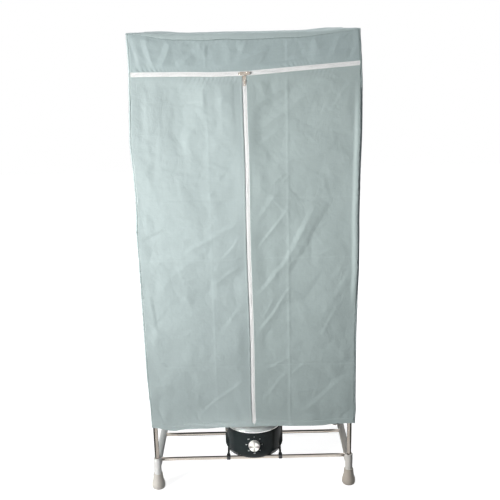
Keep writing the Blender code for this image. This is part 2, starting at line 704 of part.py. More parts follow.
def build_blower_shell():
    """The black drum: open above and below, bored for timer and cord. Its tapered foot hangs
    round the floor plate, with notches for the rails and the arms."""
    taper_top = SHELL_BOTTOM + FOOT_TAPER_HEIGHT
    lip_bottom = BLOWER_TOP - SHELL_LIP_DEPTH
    lip_inside = BLOWER_RADIUS - SHELL_LIP_WIDTH
    profile = [
        (SHELL_FOOT_INSIDE, SHELL_BOTTOM),
        (SHELL_FOOT_RADIUS, SHELL_BOTTOM),
        (BLOWER_RADIUS, taper_top),
        (BLOWER_RADIUS, BLOWER_TOP - BLOWER_WALL / 2),
        (BLOWER_RADIUS - BLOWER_WALL / 2, BLOWER_TOP),
        (lip_inside, BLOWER_TOP),
        (lip_inside, lip_bottom),
        (SHELL_INSIDE, lip_bottom),
        (SHELL_INSIDE, taper_top),
    ]
    shell = add_object("blower_shell", turned(profile, SHELL_SIDES), "black_enamel")
    front = BLOWER_RADIUS + CUT_OVERRUN
    timer_hole = bore((0, -front, KNOB_HEIGHT), (0, 0, KNOB_HEIGHT), BUSH_RADIUS + CLEARANCE)
    cord_hole = bore((0, 0, GLAND_HEIGHT), (0, front, GLAND_HEIGHT), GLAND_RADIUS + CLEARANCE)
    cut(shell, [timer_hole, cord_hole])
    notches = []
    for side in (-1, 1):
        rail_y = side * RAIL_SPACING / 2
        start = (-front, rail_y, BAR_HEIGHT_ABOVE_FLOOR)
        end = (front, rail_y, BAR_HEIGHT_ABOVE_FLOOR)
        notches.append(bore(start, end, NOTCH_RADIUS))
        arm_side = side * (CLIP_SPACING / 2 - ARM_WIDTH / 2 - CLEARANCE)
        low = (min(arm_side, side * front), -RAIL_SPACING / 2, SHELL_BOTTOM - CUT_OVERRUN)
        high = (max(arm_side, side * front), RAIL_SPACING / 2, BASE_TOP + CLEARANCE)
        notches.append(box(low, high))
    cut(shell, notches)
    shell.location = (BLOWER_X, BLOWER_Y, 0)


def build_dome():
    """The silver dome: an upright rim, a curved shoulder and a ledge that holds the grille."""
    rim_top = DOME_BOTTOM + DOME_RIM_HEIGHT
    shoulder_run = DOME_RADIUS - OUTLET_RADIUS - DOME_WALL
    shoulder_rise = DOME_HEIGHT - DOME_RIM_HEIGHT
    outer = []
    inner = []
    for step in range(DOME_STEPS + 1):
        angle = QUARTER * step / DOME_STEPS
        run = shoulder_run * (1 - math.cos(angle))
        rise = shoulder_rise * math.sin(angle)
        outer.append((DOME_RADIUS - run, rim_top + rise))
        if step % 2 == 0:
            inner_run = (shoulder_run - DOME_WALL) * (1 - math.cos(angle))
            inner_rise = (shoulder_rise - 2 * DOME_WALL) * math.sin(angle)
            inner.append((DOME_RADIUS - DOME_WALL - inner_run, rim_top + inner_rise))
    ledge_top = GRILLE_TOP - GRILLE_THICKNESS - CLEARANCE
    ledge_bottom = ledge_top - DOME_WALL
    ledge_inside = OUTLET_RADIUS - GRILLE_LEDGE
    wall_outside = OUTLET_RADIUS + DOME_WALL
    inner_shoulder = [(radius, height) for radius, height in inner if radius > wall_outside]
    under_top = DOME_TOP - DOME_WALL
    profile = [(DOME_RADIUS - DOME_WALL, DOME_BOTTOM), (DOME_RADIUS, DOME_BOTTOM)]
    profile += outer
    profile += [
        (OUTLET_RADIUS, DOME_TOP),
        (OUTLET_RADIUS, ledge_top),
        (ledge_inside, ledge_top),
        (ledge_inside, ledge_bottom),
        (wall_outside, ledge_bottom),
        (wall_outside, under_top),
    ]
    profile += reversed(inner_shoulder)
    dome = add_object("blower_dome", turned(profile, SHELL_SIDES), "silver_dome")
    dome.location = (BLOWER_X, BLOWER_Y, 0)


def build_grille():
    """A round plate of ring slots between spokes, made cell by cell in polar steps."""
    spoke_cells = GRILLE_SPOKES * GRILLE_CELLS_PER_SPOKE
    slot_width = (GRILLE_RADIUS - GRILLE_HUB_RADIUS - GRILLE_RINGS * GRILLE_RING_WIDTH) / GRILLE_RINGS
    radii = [GRILLE_HUB_RADIUS]
    for ring in range(GRILLE_RINGS):
        radii.append(radii[-1] + slot_width)
        radii.append(radii[-1] + GRILLE_RING_WIDTH)
    low = GRILLE_TOP - GRILLE_THICKNESS
    shape = bmesh.new()
    levels = []
    for height in (low, GRILLE_TOP):
        rings = []
        for radius in radii:
            ring_verts = []
            for cell in range(spoke_cells):
                angle = TURN * cell / spoke_cells
                ring_verts.append(shape.verts.new((radius * math.cos(angle), radius * math.sin(angle), height)))
            rings.append(ring_verts)
        levels.append(rings)

    def is_solid(band, cell):
        """Odd bands are rings. Slot bands are solid only at a spoke."""
        return band % 2 == 1 or cell % GRILLE_CELLS_PER_SPOKE == 0

    bands = len(radii) - 1
    for cell in range(spoke_cells):
        following = (cell + 1) % spoke_cells
        for band in range(bands):
            if not is_solid(band, cell):
                continue
            for rings in levels:
                inner, outer = rings[band], rings[band + 1]
                shape.faces.new((inner[cell], outer[cell], outer[following], inner[following]))
            for column, neighbour in ((cell, cell - 1), (following, cell + 1)):
                if not is_solid(band, neighbour % spoke_cells):
                    corners = [levels[0][band][column], levels[0][band + 1][column]]
                    corners += [levels[1][band + 1][column], levels[1][band][column]]
                    shape.faces.new(corners)
        for line in range(bands + 1):
            inside = line == 0 or is_solid(line - 1, cell)
            outside = line < bands and is_solid(line, cell)
            if inside != outside:
                corners = [levels[0][line][cell], levels[0][line][following]]
                corners += [levels[1][line][following], levels[1][line][cell]]
                shape.faces.new(corners)
    for rings in levels:
        shape.faces.new(rings[0])
    grille = add_object("outlet_grille", shape, "silver_dome", smooth=False)
    grille.location = (BLOWER_X, BLOWER_Y, 0)


def build_knob():
    """The timer knob with its shaft, turned about the front to back axis."""
    face = KNOB_DEPTH
    crown_share = 0.25
    profile = [
        (0, -SHAFT_DEPTH),
        (SHAFT_RADIUS, -SHAFT_DEPTH),
        (SHAFT_RADIUS, 0),
        (KNOB_RADIUS, 0),
        (KNOB_RADIUS, KNOB_SKIRT),
        (KNOB_RADIUS - KNOB_SKIRT, KNOB_SKIRT * 2),
        (KNOB_RADIUS - KNOB_SKIRT, face - KNOB_BEVEL),
        (KNOB_RADIUS - KNOB_SKIRT - KNOB_BEVEL / 2, face - KNOB_BEVEL * crown_share),
        (KNOB_RADIUS - KNOB_SKIRT - KNOB_BEVEL, face),
        (0, face),
    ]
    shape = aimed(turned(profile, KNOB_SIDES), (0, 0, 0), (0, -1, 0))
    knob = add_object("timer_knob", shape, "spun_aluminium")
    notch = box(
        (-KNOB_NOTCH_WIDTH / 2, -KNOB_SKIRT * 2, KNOB_RADIUS - KNOB_NOTCH_DEPTH),
        (KNOB_NOTCH_WIDTH / 2, CUT_OVERRUN, KNOB_RADIUS + CUT_OVERRUN),
    )
    cut(knob, [notch])
    knob.location = (BLOWER_X, KNOB_BACK, KNOB_HEIGHT)


def build_timer():
    """The clockwork box behind the drum's front wall, with its bush through the wall."""
    half_width = TIMER_WIDTH / 2
    half_height = TIMER_HEIGHT / 2
    flat_reach = math.sqrt(SHELL_INSIDE**2 - half_width**2) - CLEARANCE
    front = BLOWER_Y - flat_reach * math.cos(math.pi / SHELL_SIDES)
    low = (-half_width, front, KNOB_HEIGHT - half_height)
    high = (half_width, front + TIMER_DEPTH, KNOB_HEIGHT + half_height)
    timer = add_object("timer_switch", box(low, high), "black_plastic", smooth=False)
    bush_tip = (0, BLOWER_Y - BLOWER_RADIUS, KNOB_HEIGHT)
    fuse(timer, rod(bush_tip, (0, front + TIMER_DEPTH / 2, KNOB_HEIGHT), BUSH_RADIUS, ROD_SIDES))
    bore_start = (0, KNOB_BACK - CUT_OVERRUN, KNOB_HEIGHT)
    bore_end = (0, KNOB_BACK + SHAFT_DEPTH + CLEARANCE, KNOB_HEIGHT)
    cut(timer, [bore(bore_start, bore_end, BUSH_BORE)])
    timer.location = (BLOWER_X, 0, 0)


def build_motor():
    """The fan motor on the floor plate, with a stepped end bell and its shaft."""
    bell = MOTOR_RADIUS - MOTOR_BELL_STEP
    bell_bottom = MOTOR_TOP - MOTOR_BELL_STEP
    shaft_top = MOTOR_TOP + MOTOR_SHAFT_LENGTH
    profile = [
        (0, MOTOR_BOTTOM),
        (bell, MOTOR_BOTTOM),
        (MOTOR_RADIUS, MOTOR_BOTTOM + MOTOR_BELL_STEP),
        (MOTOR_RADIUS, bell_bottom),
        (bell, bell_bottom),
        (bell, MOTOR_TOP),
        (MOTOR_SHAFT_RADIUS, MOTOR_TOP),
        (MOTOR_SHAFT_RADIUS, shaft_top),
        (0, shaft_top),
    ]
    motor = add_object("fan_motor", turned(profile, POST_SIDES), "motor_steel")
    motor.location = (BLOWER_X, BLOWER_Y, 0)


def blade_shape():
    """One twisted blade along +X, from inside the hub to the tip."""
    shape = bmesh.new()
    root = FAN_HUB_RADIUS - FAN_BLADE_ROOT
    middle = FAN_HUB_HEIGHT / 2
    sections = []
    span_shares = (0.0, 0.35, 0.7, 1.0)
    chord_shares = (0.72, 0.95, 1.0, 0.8)
    for span_share, chord_share in zip(span_shares, chord_shares):
        radius = root + (FAN_RADIUS - root) * span_share
        pitch = FAN_PITCH_ROOT + (FAN_PITCH_TIP - FAN_PITCH_ROOT) * span_share
        along = Vector((0, math.cos(pitch), math.sin(pitch))) * FAN_BLADE_CHORD * chord_share / 2
        across = Vector((0, -math.sin(pitch), math.cos(pitch))) * FAN_BLADE_THICKNESS / 2
        centre = Vector((radius, 0, middle))
        corners = (-along - across, along - across, along + across, -along + across)
        sections.append([shape.verts.new(centre + corner) for corner in corners])
    for near, far in zip(sections, sections[1:]):
        for index in range(4):
            following = (index + 1) % 4
            shape.faces.new((near[index], near[following], far[following], far[index]))
    shape.faces.new(sections[0])
    shape.faces.new(sections[-1])
    bmesh.ops.triangulate(shape, faces=shape.faces)
    return shape


def build_fan():
    """The axial impeller: a domed hub on the motor's shaft and its twisted blades."""
    bore = MOTOR_SHAFT_RADIUS + CLEARANCE
    bore_top = MOTOR_SHAFT_LENGTH - FAN_HUB_LIFT + CLEARANCE
    shoulder_share = 0.8
    skirt_height_share = 0.75
    dome_height_share = 0.95
    profile = [
        (bore, 0),
        (FAN_HUB_RADIUS, 0),
        (FAN_HUB_RADIUS, FAN_HUB_HEIGHT * skirt_height_share),
        (FAN_HUB_RADIUS * shoulder_share, FAN_HUB_HEIGHT * dome_height_share),
        (0, FAN_HUB_HEIGHT),
        (0, bore_top),
        (bore, bore_top),
    ]
    fan = add_object("fan_impeller", turned(profile, 2 * FAN_BLADES), "fan_plastic")
    for index in range(FAN_BLADES):
        blade = blade_shape()
        turn = Matrix.Rotation(TURN * index / FAN_BLADES, 4, "Z")
        bmesh.ops.transform(blade, matrix=turn, verts=blade.verts)
        fuse(fan, blade)
    fan.location = (BLOWER_X, BLOWER_Y, FAN_BOTTOM)


def build_heater():
    """A round carrier plate with a finned ceramic heater in its window."""
    plate_radius = (SHELL_INSIDE - CLEARANCE) * math.cos(math.pi / SHELL_SIDES)
    low = HEATER_HEIGHT
    high = low + HEATER_PLATE
    profile = [(0, low), (plate_radius, low), (plate_radius, high), (0, high)]
    heater = add_object("ptc_heater", turned(profile, POST_SIDES), "heater_ceramic", smooth=False)
    half_length = HEATER_LENGTH / 2
    half_width = HEATER_WIDTH / 2
    block_low = (-half_length, -half_width, low + HEATER_PLATE / 2)
    block_high = (half_length, half_width, low + HEATER_DEPTH)
    fuse(heater, box(block_low, block_high))
    gap_count = HEATER_FINS + 1
    inside_length = HEATER_LENGTH - 2 * HEATER_FRAME
    gap = (inside_length - HEATER_FINS * HEATER_FIN) / gap_count
    inside_half_width = half_width - HEATER_FRAME
    windows = []
    for index in range(gap_count):
        start = HEATER_FRAME - half_length + index * (gap + HEATER_FIN)
        window_low = (start, -inside_half_width, low - CUT_OVERRUN)
        window_high = (start + gap, inside_half_width, low + HEATER_DEPTH + CUT_OVERRUN)
        windows.append(box(window_low, window_high))
    cut(heater, windows)
    heater.location = (BLOWER_X, BLOWER_Y, 0)


def build_gland():
    """The bushing where the cord leaves the drum at the back."""
    outside = BLOWER_RADIUS + CLEARANCE
    inside_sag = SHELL_INSIDE - math.sqrt(SHELL_INSIDE**2 - (GLAND_RADIUS + GLAND_FLANGE) ** 2)
    facet_sag = SHELL_INSIDE * (1 - math.cos(math.pi / SHELL_SIDES))
    inside = SHELL_INSIDE - inside_sag - facet_sag - CLEARANCE
    flange = GLAND_RADIUS + GLAND_FLANGE
    nose_share = 0.33
    nose = GLAND_RADIUS - GLAND_FLANGE * nose_share
    profile = [
        (GLAND_BORE, inside - GLAND_FLANGE_DEPTH),
        (flange, inside - GLAND_FLANGE_DEPTH),
        (flange, inside),
        (GLAND_RADIUS, inside),
        (GLAND_RADIUS, outside),
        (flange, outside),
        (flange, outside + GLAND_FLANGE_DEPTH),
        (nose, outside + GLAND_FLANGE_DEPTH + GLAND_NOSE),
        (GLAND_BORE, outside + GLAND_FLANGE_DEPTH + GLAND_NOSE),
    ]
    shape = aimed(turned(profile, ROD_SIDES), (0, 0, 0), (0, 1, 0))
    gland = add_object("cord_gland", shape, "black_plastic")
    gland.location = (BLOWER_X, BLOWER_Y, GLAND_HEIGHT)


def build_blower():
    """Everything on the blower rails."""
    build_blower_base()
    build_blower_shell()
    build_dome()
    build_grille()
    build_knob()
    build_timer()
    build_motor()
    build_fan()
    build_heater()
    build_gland()


def zip_line_height(x):
    """Height of the horizontal zip's centre line, which rises to both sides."""
    slope = ZIP_LEFT_SLOPE if x < 0 else ZIP_RIGHT_SLOPE
    return ZIP_HEIGHT + slope * x


def zip_line_x(z):
    """Place of the upright zip's centre line, which leans a little."""
    return ZIP_TOP_LEAN + ZIP_LEAN_SLOPE * (z - ZIP_HEIGHT)


def top_sag(x, y):
    """How far the top panel hangs below its corners: it rests on the rails and the rods."""
    along_x = smoothstep((HALF_X - abs(x) - ARM_REACH) / TOP_EASE)
    along_y = smoothstep((HALF_Y - abs(y) - ARM_REACH) / TOP_EASE)
    both = along_x * along_y
    return TOP_RAIL_SAG * (along_x + along_y - both) + (TOP_ROD_SAG - TOP_RAIL_SAG) * both


def hem_line(place):
    """Height of the hem, which swings gently up and down along the cover."""
    return HEM_HEIGHT + HEM_SWING / 2 * math.cos(TURN * place / HEM_PITCH)


def corner_ease(place, half):
    """0 over the posts and their connectors, 1 away from the corners."""
    return smoothstep((half - abs(place) - CORNER_FLAT) / CORNER_EASE)


def upright_folds(place, z):
    """Soft folds that run up the cloth and lean, crossed by one long diagonal."""
    upright = FOLD_DEPTH * (1 + math.sin(TURN * (place / FOLD_PITCH + z / FOLD_LEAN_PITCH)))
    diagonal = DIAGONAL_DEPTH * (1 + math.sin(TURN * (place - z / 2) / DIAGONAL_PITCH))
    return upright + diagonal


def flap_push(x, z):
    """How far a front flap stands out in front of its plane."""
    near_zip = smoothstep((abs(x - zip_line_x(z)) - ZIP_HALF_WIDTH) / EDGE_EASE)
    near_top = smoothstep((zip_line_height(x) - ZIP_HALF_WIDTH - z) / TOP_EASE)
    return upright_folds(x, z) * near_zip * near_top * corner_ease(x, COVER_X)


def header_push(x, z):
    """Small gathers in the band above the zip."""
    band = (z - zip_line_height(x)) / (TOP_UNDERSIDE - zip_line_height(x))
    shape = math.sin(math.pi * min(max(band, 0.0), 1.0))
    gathers = HEADER_FOLD_DEPTH * (1 + math.sin(TURN * x / HEADER_FOLD_PITCH))
    return gathers * shape * corner_ease(x, COVER_X)


def wall_push(place, z, half):
    """Outward billow and folds of a side or back panel."""
    up = (z - HEM_HEIGHT) / (TOP_UNDERSIDE - HEM_HEIGHT)
    billow = SIDE_BULGE * math.sin(math.pi * min(max(up, 0.0), 1.0))
    folds = SIDE_FOLD_DEPTH * (1 + math.sin(TURN * (place / SIDE_FOLD_PITCH + z / FOLD_LEAN_PITCH)))
    near_top = smoothstep((TOP_UNDERSIDE - z) / TOP_EASE)
    return (billow + folds) * near_top * corner_ease(place, half)


def even_shares(count):
    """0 to 1 in equal steps."""
    return [index / count for index in range(count + 1)]


def cloth(name, columns, rows, outer_point, outward):
    """A closed sheet of fabric over a grid of points, its inner face set back by the fabric."""
    shape = bmesh.new()
    set_back = Vector(outward) * -FABRIC
    outside = []
    inside = []
    for row_place in rows:
        points = [outer_point(column_place, row_place) for column_place in columns]
        outside.append([shape.verts.new(point) for point in points])
        inside.append([shape.verts.new(point + set_back) for point in points])
    for grid in (outside, inside):
        for row in range(len(rows) - 1):
            for column in range(len(columns) - 1):
                low, high = grid[row], grid[row + 1]
                shape.faces.new((low[column], low[column + 1], high[column + 1]))
                shape.faces.new((low[column], high[column + 1], high[column]))
    rim_out = outside[0] + [line[-1] for line in outside[1:]]
    rim_out += list(reversed(outside[-1][:-1])) + [line[0] for line in reversed(outside[1:-1])]
    rim_in = inside[0] + [line[-1] for line in inside[1:]]
    rim_in += list(reversed(inside[-1][:-1])) + [line[0] for line in reversed(inside[1:-1])]
    for index, vert in enumerate(rim_out):
        following = (index + 1) % len(rim_out)
        shape.faces.new((vert, rim_out[following], rim_in[following], rim_in[index]))
    return add_object(name, shape, "cover_fabric")


def build_flap(side_name, side):
    """A front flap from its corner seam to the upright zip, with its origin on the seam."""

    def outer_point(across, up):
        level = HEM_HEIGHT + (ZIP_HEIGHT - HEM_HEIGHT) * up
        zip_edge = zip_line_x(level) + side * ZIP_HALF_WIDTH
        x = side * COVER_X + (zip_edge - side * COVER_X) * across
        bottom = hem_line(x)
        z = bottom + (zip_line_height(x) - ZIP_HALF_WIDTH - bottom) * up
        return Vector((x, -COVER_Y - flap_push(x, z), z))

    columns = even_shares(FLAP_COLUMNS)
    flap = cloth("flap_" + side_name, columns, even_shares(FLAP_ROWS), outer_point, (0, -1, 0))
    set_origin(flap, (side * COVER_X, -COVER_Y, 0))


def build_header():
    """The band across the front above the zip."""

    def outer_point(x, up):
        bottom = zip_line_height(x) + ZIP_HALF_WIDTH
        top = TOP_UNDERSIDE - top_sag(x, COVER_Y) - CLEARANCE
        z = bottom + (top - bottom) * up
        return Vector((x, -COVER_Y - header_push(x, z), z))

    columns = seam_lines(COVER_X, HALF_X, TOP_COLUMNS)
    cloth("cover_header", columns, even_shares(HEADER_ROWS), outer_point, (0, -1, 0))


def build_side(side_name, side):
    """A side panel between the front and back seams."""
    def outer_point(y, up):
        bottom = hem_line(y)
        top = TOP_UNDERSIDE - top_sag(COVER_X, y) - CLEARANCE
        z = bottom + (top - bottom) * up
        return Vector((side * (COVER_X + wall_push(y, z, COVER_Y)), y, z))

    columns = seam_lines(LINING_Y - CLEARANCE, HALF_Y, TOP_ROWS)
    cloth("cover_side_" + side_name, columns, even_shares(WALL_ROWS), outer_point, (side, 0, 0))


def build_back():
    """The back panel."""

    def outer_point(x, up):
        bottom = hem_line(x)
        top = TOP_UNDERSIDE - top_sag(x, COVER_Y) - CLEARANCE
        z = bottom + (top - bottom) * up
        return Vector((x, COVER_Y + wall_push(x, z, COVER_X), z))

    columns = seam_lines(COVER_X, HALF_X, TOP_COLUMNS)
    cloth("cover_back", columns, even_shares(WALL_ROWS), outer_point, (0, 1, 0))


def seam_lines(cover, half, count):
    """Grid lines shared by panels that meet: edge, post, arm's end, and evenly between."""
    arm_end = half - ARM_REACH
    ease_end = arm_end - TOP_EASE
    middle = [ease_end * (2 * index / count - 1) for index in range(count + 1)]
    outer = [ease_end + TOP_EASE / 2, arm_end, half, cover]
    return [-value for value in reversed(outer)] + middle + outer


def build_top():
    """The top panel, which lies on the corner hubs, the rails and the hanging rods."""
    columns = seam_lines(COVER_X, HALF_X, TOP_COLUMNS)
    rows = seam_lines(COVER_Y, HALF_Y, TOP_ROWS)

    def outer_point(x, y):
        return Vector((x, y, OVERALL_HEIGHT - top_sag(x, y)))

    cloth("cover_top", columns, rows, outer_point, (0, 0, 1))


def tape_profile():
    """Half a zip's section as (distance from the centre line, distance in front of the cover)."""
    return (
        (COIL_GAP, TAPE_BACK),
        (TAPE_WIDTH, TAPE_BACK),
        (TAPE_WIDTH, TAPE_FRONT),
        (COIL_EDGE, TAPE_FRONT),
        (COIL_EDGE, COIL_PROUD - COIL_CHAMFER),
        (COIL_EDGE - COIL_CHAMFER, COIL_PROUD),
        (COIL_GAP + COIL_CHAMFER, COIL_PROUD),
        (COIL_GAP, COIL_PROUD - COIL_CHAMFER),
    )


def tape_sweep(stations):
    """Carry the half section along stations, each a function of the distance from the centre."""
    shape = bmesh.new()
    rings = []
    for station in stations:
        ring = []
        for distance, proud in tape_profile():
            x, z = station(distance)
            ring.append(shape.verts.new((x, -COVER_Y - proud, z)))
        rings.append(ring)
    count = len(rings[0])
    for near, far in zip(rings, rings[1:]):
        for index in range(count):
            following = (index + 1) % count
            shape.faces.new((near[index], near[following], far[following], far[index]))
    shape.faces.new(rings[0])
    shape.faces.new(rings[-1])
    return shape


def build_header_tape():
    """The upper half of the horizontal zip, from corner to corner."""
    edge = COVER_X - FABRIC

    def at(x):
        return lambda distance: (x, zip_line_height(x) + distance)

    add_object("zip_tape_header", tape_sweep([at(-edge), at(0), at(edge)]), "zip_tape")


def build_flap_tape(side_name, side):
    """The flap's halves of both zips in one angle, notched where the closed sliders sit."""
    edge = side * (COVER_X - FABRIC - CLEARANCE)
    foot = HEM_HEIGHT + TAPE_FOOT
    corner_x = zip_line_x(ZIP_HEIGHT)
    corner_z = zip_line_height(corner_x)
    stations = (
        lambda distance: (edge, zip_line_height(edge) - distance),
        lambda distance: (corner_x + side * distance, corner_z - distance),
        lambda distance: (zip_line_x(foot) + side * distance, foot),
    )
    tape = add_object("zip_tape_" + side_name, tape_sweep(stations), "zip_tape")
    front = -COVER_Y - COIL_PROUD - CUT_OVERRUN
    back = -COVER_Y - TAPE_BACK + CUT_OVERRUN
    side_reach = SIDE_SLIDER_X + SLIDER_LENGTH / 2 + NOTCH_MARGIN
    low_x, high_x = sorted((corner_x - side * CUT_OVERRUN, corner_x + side * side_reach))
    top = corner_z + NOTCH_HALF_WIDTH
    cutters = [box((low_x, front, corner_z - NOTCH_HALF_WIDTH), (high_x, back, top))]
    cut(tape, cutters)
    if side > 0:
        drop = MAIN_SLIDER_DROP + LONG_PULL + NOTCH_MARGIN
        low = (corner_x - CUT_OVERRUN, front, corner_z - drop)
        high = (corner_x + NOTCH_HALF_WIDTH, back, corner_z)
        cut(tape, [box(low, high)])
    set_origin(tape, (side * COVER_X, -COVER_Y, 0))


def slider_shape(name, place, travel):
    """A zip slider: front and rear plates, side flanges and the bridge between the coils.

    In its own frame the travel is +X, the coils lie across Z and the front is -Y.
    """
    half_width = SLIDER_WIDTH / 2
    half_length = SLIDER_LENGTH / 2
    front_plate = box((-half_length, -PLATE_FRONT, -half_width), (half_length, -PLATE_BACK, half_width))
    slider = add_object(name, front_plate, "zip_metal", smooth=False)
    rear_low = (-half_length, -REAR_PLATE_FRONT, -half_width)
    rear_high = (half_length, -REAR_PLATE_BACK, half_width)
    bridge_low = (half_length - SLIDER_BRIDGE_LENGTH, -PLATE_BACK - SLIDER_PLATE / 2, -SLIDER_BRIDGE / 2)
    bridge_high = (
        half_length - CLEARANCE,
        -REAR_PLATE_FRONT + SLIDER_PLATE / 2,
        SLIDER_BRIDGE / 2,
    )
    rear = box(rear_low, rear_high)
    fuse(slider, rear)
    fuse(slider, box(bridge_low, bridge_high))
    for side in (-1, 1):
        low_z, high_z = sorted((side * half_width, side * (half_width - SLIDER_FLANGE)))
        flange_low = (-half_length, -PLATE_BACK - SLIDER_PLATE / 2, low_z)
        flange_high = (half_length, -PLATE_BACK + SLIDER_FLANGE_DROP, high_z)
        fuse(slider, box(flange_low, flange_high))
    for side in (-1, 1):
        outer = side * BAIL_LENGTH / 2
        low_x, high_x = sorted((outer, outer - side * BAIL_LEG))
        leg_low = (low_x, -BAIL_TOP, -BAIL_WIDTH / 2)
        leg_high = (high_x, -PLATE_BACK - SLIDER_PLATE / 2, BAIL_WIDTH / 2)
        fuse(slider, box(leg_low, leg_high))
    bar_end = BAIL_LENGTH / 2 - BAIL_LEG / 2
    bar_half = BAIL_WIDTH / 2 - CLEARANCE / 2
    bar_face = BAIL_TOP - CLEARANCE / 2
    fuse(slider, box((-bar_end, -bar_face, -bar_half), (bar_end, -BAIL_INSIDE, bar_half)))
    turn_to_travel(slider, place, travel)
    return slider


def turn_to_travel(target, place, travel):
    """Turn an object's +X to the direction of travel, keeping its front at -Y."""
    along = Vector(travel).normalized()
    back = Vector((0, 1, 0))
    across = along.cross(back)
    turn = Matrix((along, back, across)).transposed().to_4x4()
    target.matrix_world = Matrix.Translation(place) @ turn


def pull_shape(name, place, travel, length):
    """A flat pull with a window round the bail, hung from a pin under the bail's bar.

    In its own frame it lies flat along +X from its pin at the origin, its front at -Y.
    """
    half_thickness = PULL_THICKNESS / 2
    body = box(
        (0, -half_thickness, -PULL_HALF_WIDTH),
        (length, half_thickness, PULL_HALF_WIDTH),
    )
    pull = add_object(name, body, "zip_metal", smooth=False)
    window_half = PULL_WINDOW_WIDTH / 2
    overrun = half_thickness + CUT_OVERRUN
    window = box((-CUT_OVERRUN, -overrun, -window_half), (PULL_WINDOW_LENGTH, overrun, window_half))
    cutters = [window]
    slot_end = length - PULL_TAIL_MARGIN
    slot_start = slot_end - PULL_TAIL_SLOT
    if slot_start > PULL_WINDOW_LENGTH + PULL_TAIL_MARGIN:
        slot_half = PULL_HALF_WIDTH - PULL_TAIL_MARGIN
        cutters.append(box((slot_start, -overrun, -slot_half), (slot_end, overrun, slot_half)))
    cut(pull, cutters)
    pin_half = PULL_HALF_WIDTH - CLEARANCE
    fuse(pull, rod((0, 0, -pin_half), (0, 0, pin_half), PULL_PIN_RADIUS, PIN_SIDES))
    turn_to_travel(pull, place, travel)


def build_zip_hardware():
    """Three sliders that meet where the zips cross, each with its pull."""
    corner_x = zip_line_x(ZIP_HEIGHT)
    down = Vector((-ZIP_LEAN_SLOPE, 0, -1)).normalized()
    main_z = zip_line_height(corner_x) - MAIN_SLIDER_DROP
    main = Vector((zip_line_x(main_z), -COVER_Y, main_z))
    slider_shape("zip_slider_main", main, down)
    pull_shape("zip_pull_main", main + Vector((0, -PIN_CENTRE, 0)), down, LONG_PULL)
    for side_name, side in SIDES:
        slope = ZIP_LEFT_SLOPE if side < 0 else ZIP_RIGHT_SLOPE
        travel = Vector((side, 0, side * slope)).normalized()
        x = corner_x + side * SIDE_SLIDER_X
        place = Vector((x, -COVER_Y, zip_line_height(x)))
        slider_shape("zip_slider_" + side_name, place, travel)
        pull_place = place + Vector((0, -PIN_CENTRE, 0)) - travel * CLEARANCE
        pull_shape("zip_pull_" + side_name, pull_place, travel, SHORT_PULL)


def build_cover():
    """Fabric panels, zip tapes and zip hardware."""
    build_top()
    build_header()
    build_back()
    for side_name, side in SIDES:
        build_side(side_name, side)
        build_flap(side_name, side)
        build_flap_tape(side_name, side)
    build_header_tape()
    build_zip_hardware()


def main():
    """Clear the scene and build the dryer."""
    for existing in list(bpy.data.objects):
        bpy.data.objects.remove(existing, do_unlink=True)
    build_frame()
    build_blower()
    build_cover()
    bpy.context.view_layer.update()


main()
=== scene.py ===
import itertools
import json
import math

import bmesh
import bpy
import numpy as np
from mathutils import Matrix, Vector

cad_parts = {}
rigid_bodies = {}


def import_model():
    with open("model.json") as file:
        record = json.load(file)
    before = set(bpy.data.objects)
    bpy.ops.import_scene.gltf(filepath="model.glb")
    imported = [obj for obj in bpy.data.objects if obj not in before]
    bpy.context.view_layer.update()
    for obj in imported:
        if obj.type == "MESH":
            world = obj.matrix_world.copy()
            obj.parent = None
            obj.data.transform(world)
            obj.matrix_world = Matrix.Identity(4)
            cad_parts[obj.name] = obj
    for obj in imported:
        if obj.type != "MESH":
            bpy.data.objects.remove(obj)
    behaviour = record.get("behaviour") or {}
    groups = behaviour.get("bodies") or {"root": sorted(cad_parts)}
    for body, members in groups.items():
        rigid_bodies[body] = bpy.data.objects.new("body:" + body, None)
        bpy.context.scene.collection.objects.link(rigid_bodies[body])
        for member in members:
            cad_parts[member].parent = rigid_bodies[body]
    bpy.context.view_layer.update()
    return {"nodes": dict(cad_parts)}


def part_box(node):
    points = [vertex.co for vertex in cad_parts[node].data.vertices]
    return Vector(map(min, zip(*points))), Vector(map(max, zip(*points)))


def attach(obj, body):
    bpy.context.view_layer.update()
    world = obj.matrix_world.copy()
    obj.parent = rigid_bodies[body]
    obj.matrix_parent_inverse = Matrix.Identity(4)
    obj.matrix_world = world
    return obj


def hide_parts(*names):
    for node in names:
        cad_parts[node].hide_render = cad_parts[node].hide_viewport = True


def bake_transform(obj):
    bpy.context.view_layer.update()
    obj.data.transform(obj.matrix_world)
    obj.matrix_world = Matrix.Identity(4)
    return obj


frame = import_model()

TURN = 2 * math.pi
MM = 0.001


def add_node(tree, kind, settings=None, sockets=None, output=0):
    """Adds a node and gives one of its outputs. A socket takes a value or another output."""
    made = tree.nodes.new(kind)
    for name, value in (settings or {}).items():
        setattr(made, name, value)
    for key, value in (sockets or {}).items():
        if isinstance(value, bpy.types.NodeSocket):
            tree.links.new(value, made.inputs[key])
        else:
            made.inputs[key].default_value = value
    return made.outputs[output] if made.outputs else None


# Materials: a value class for node sums, a finish class for whole materials


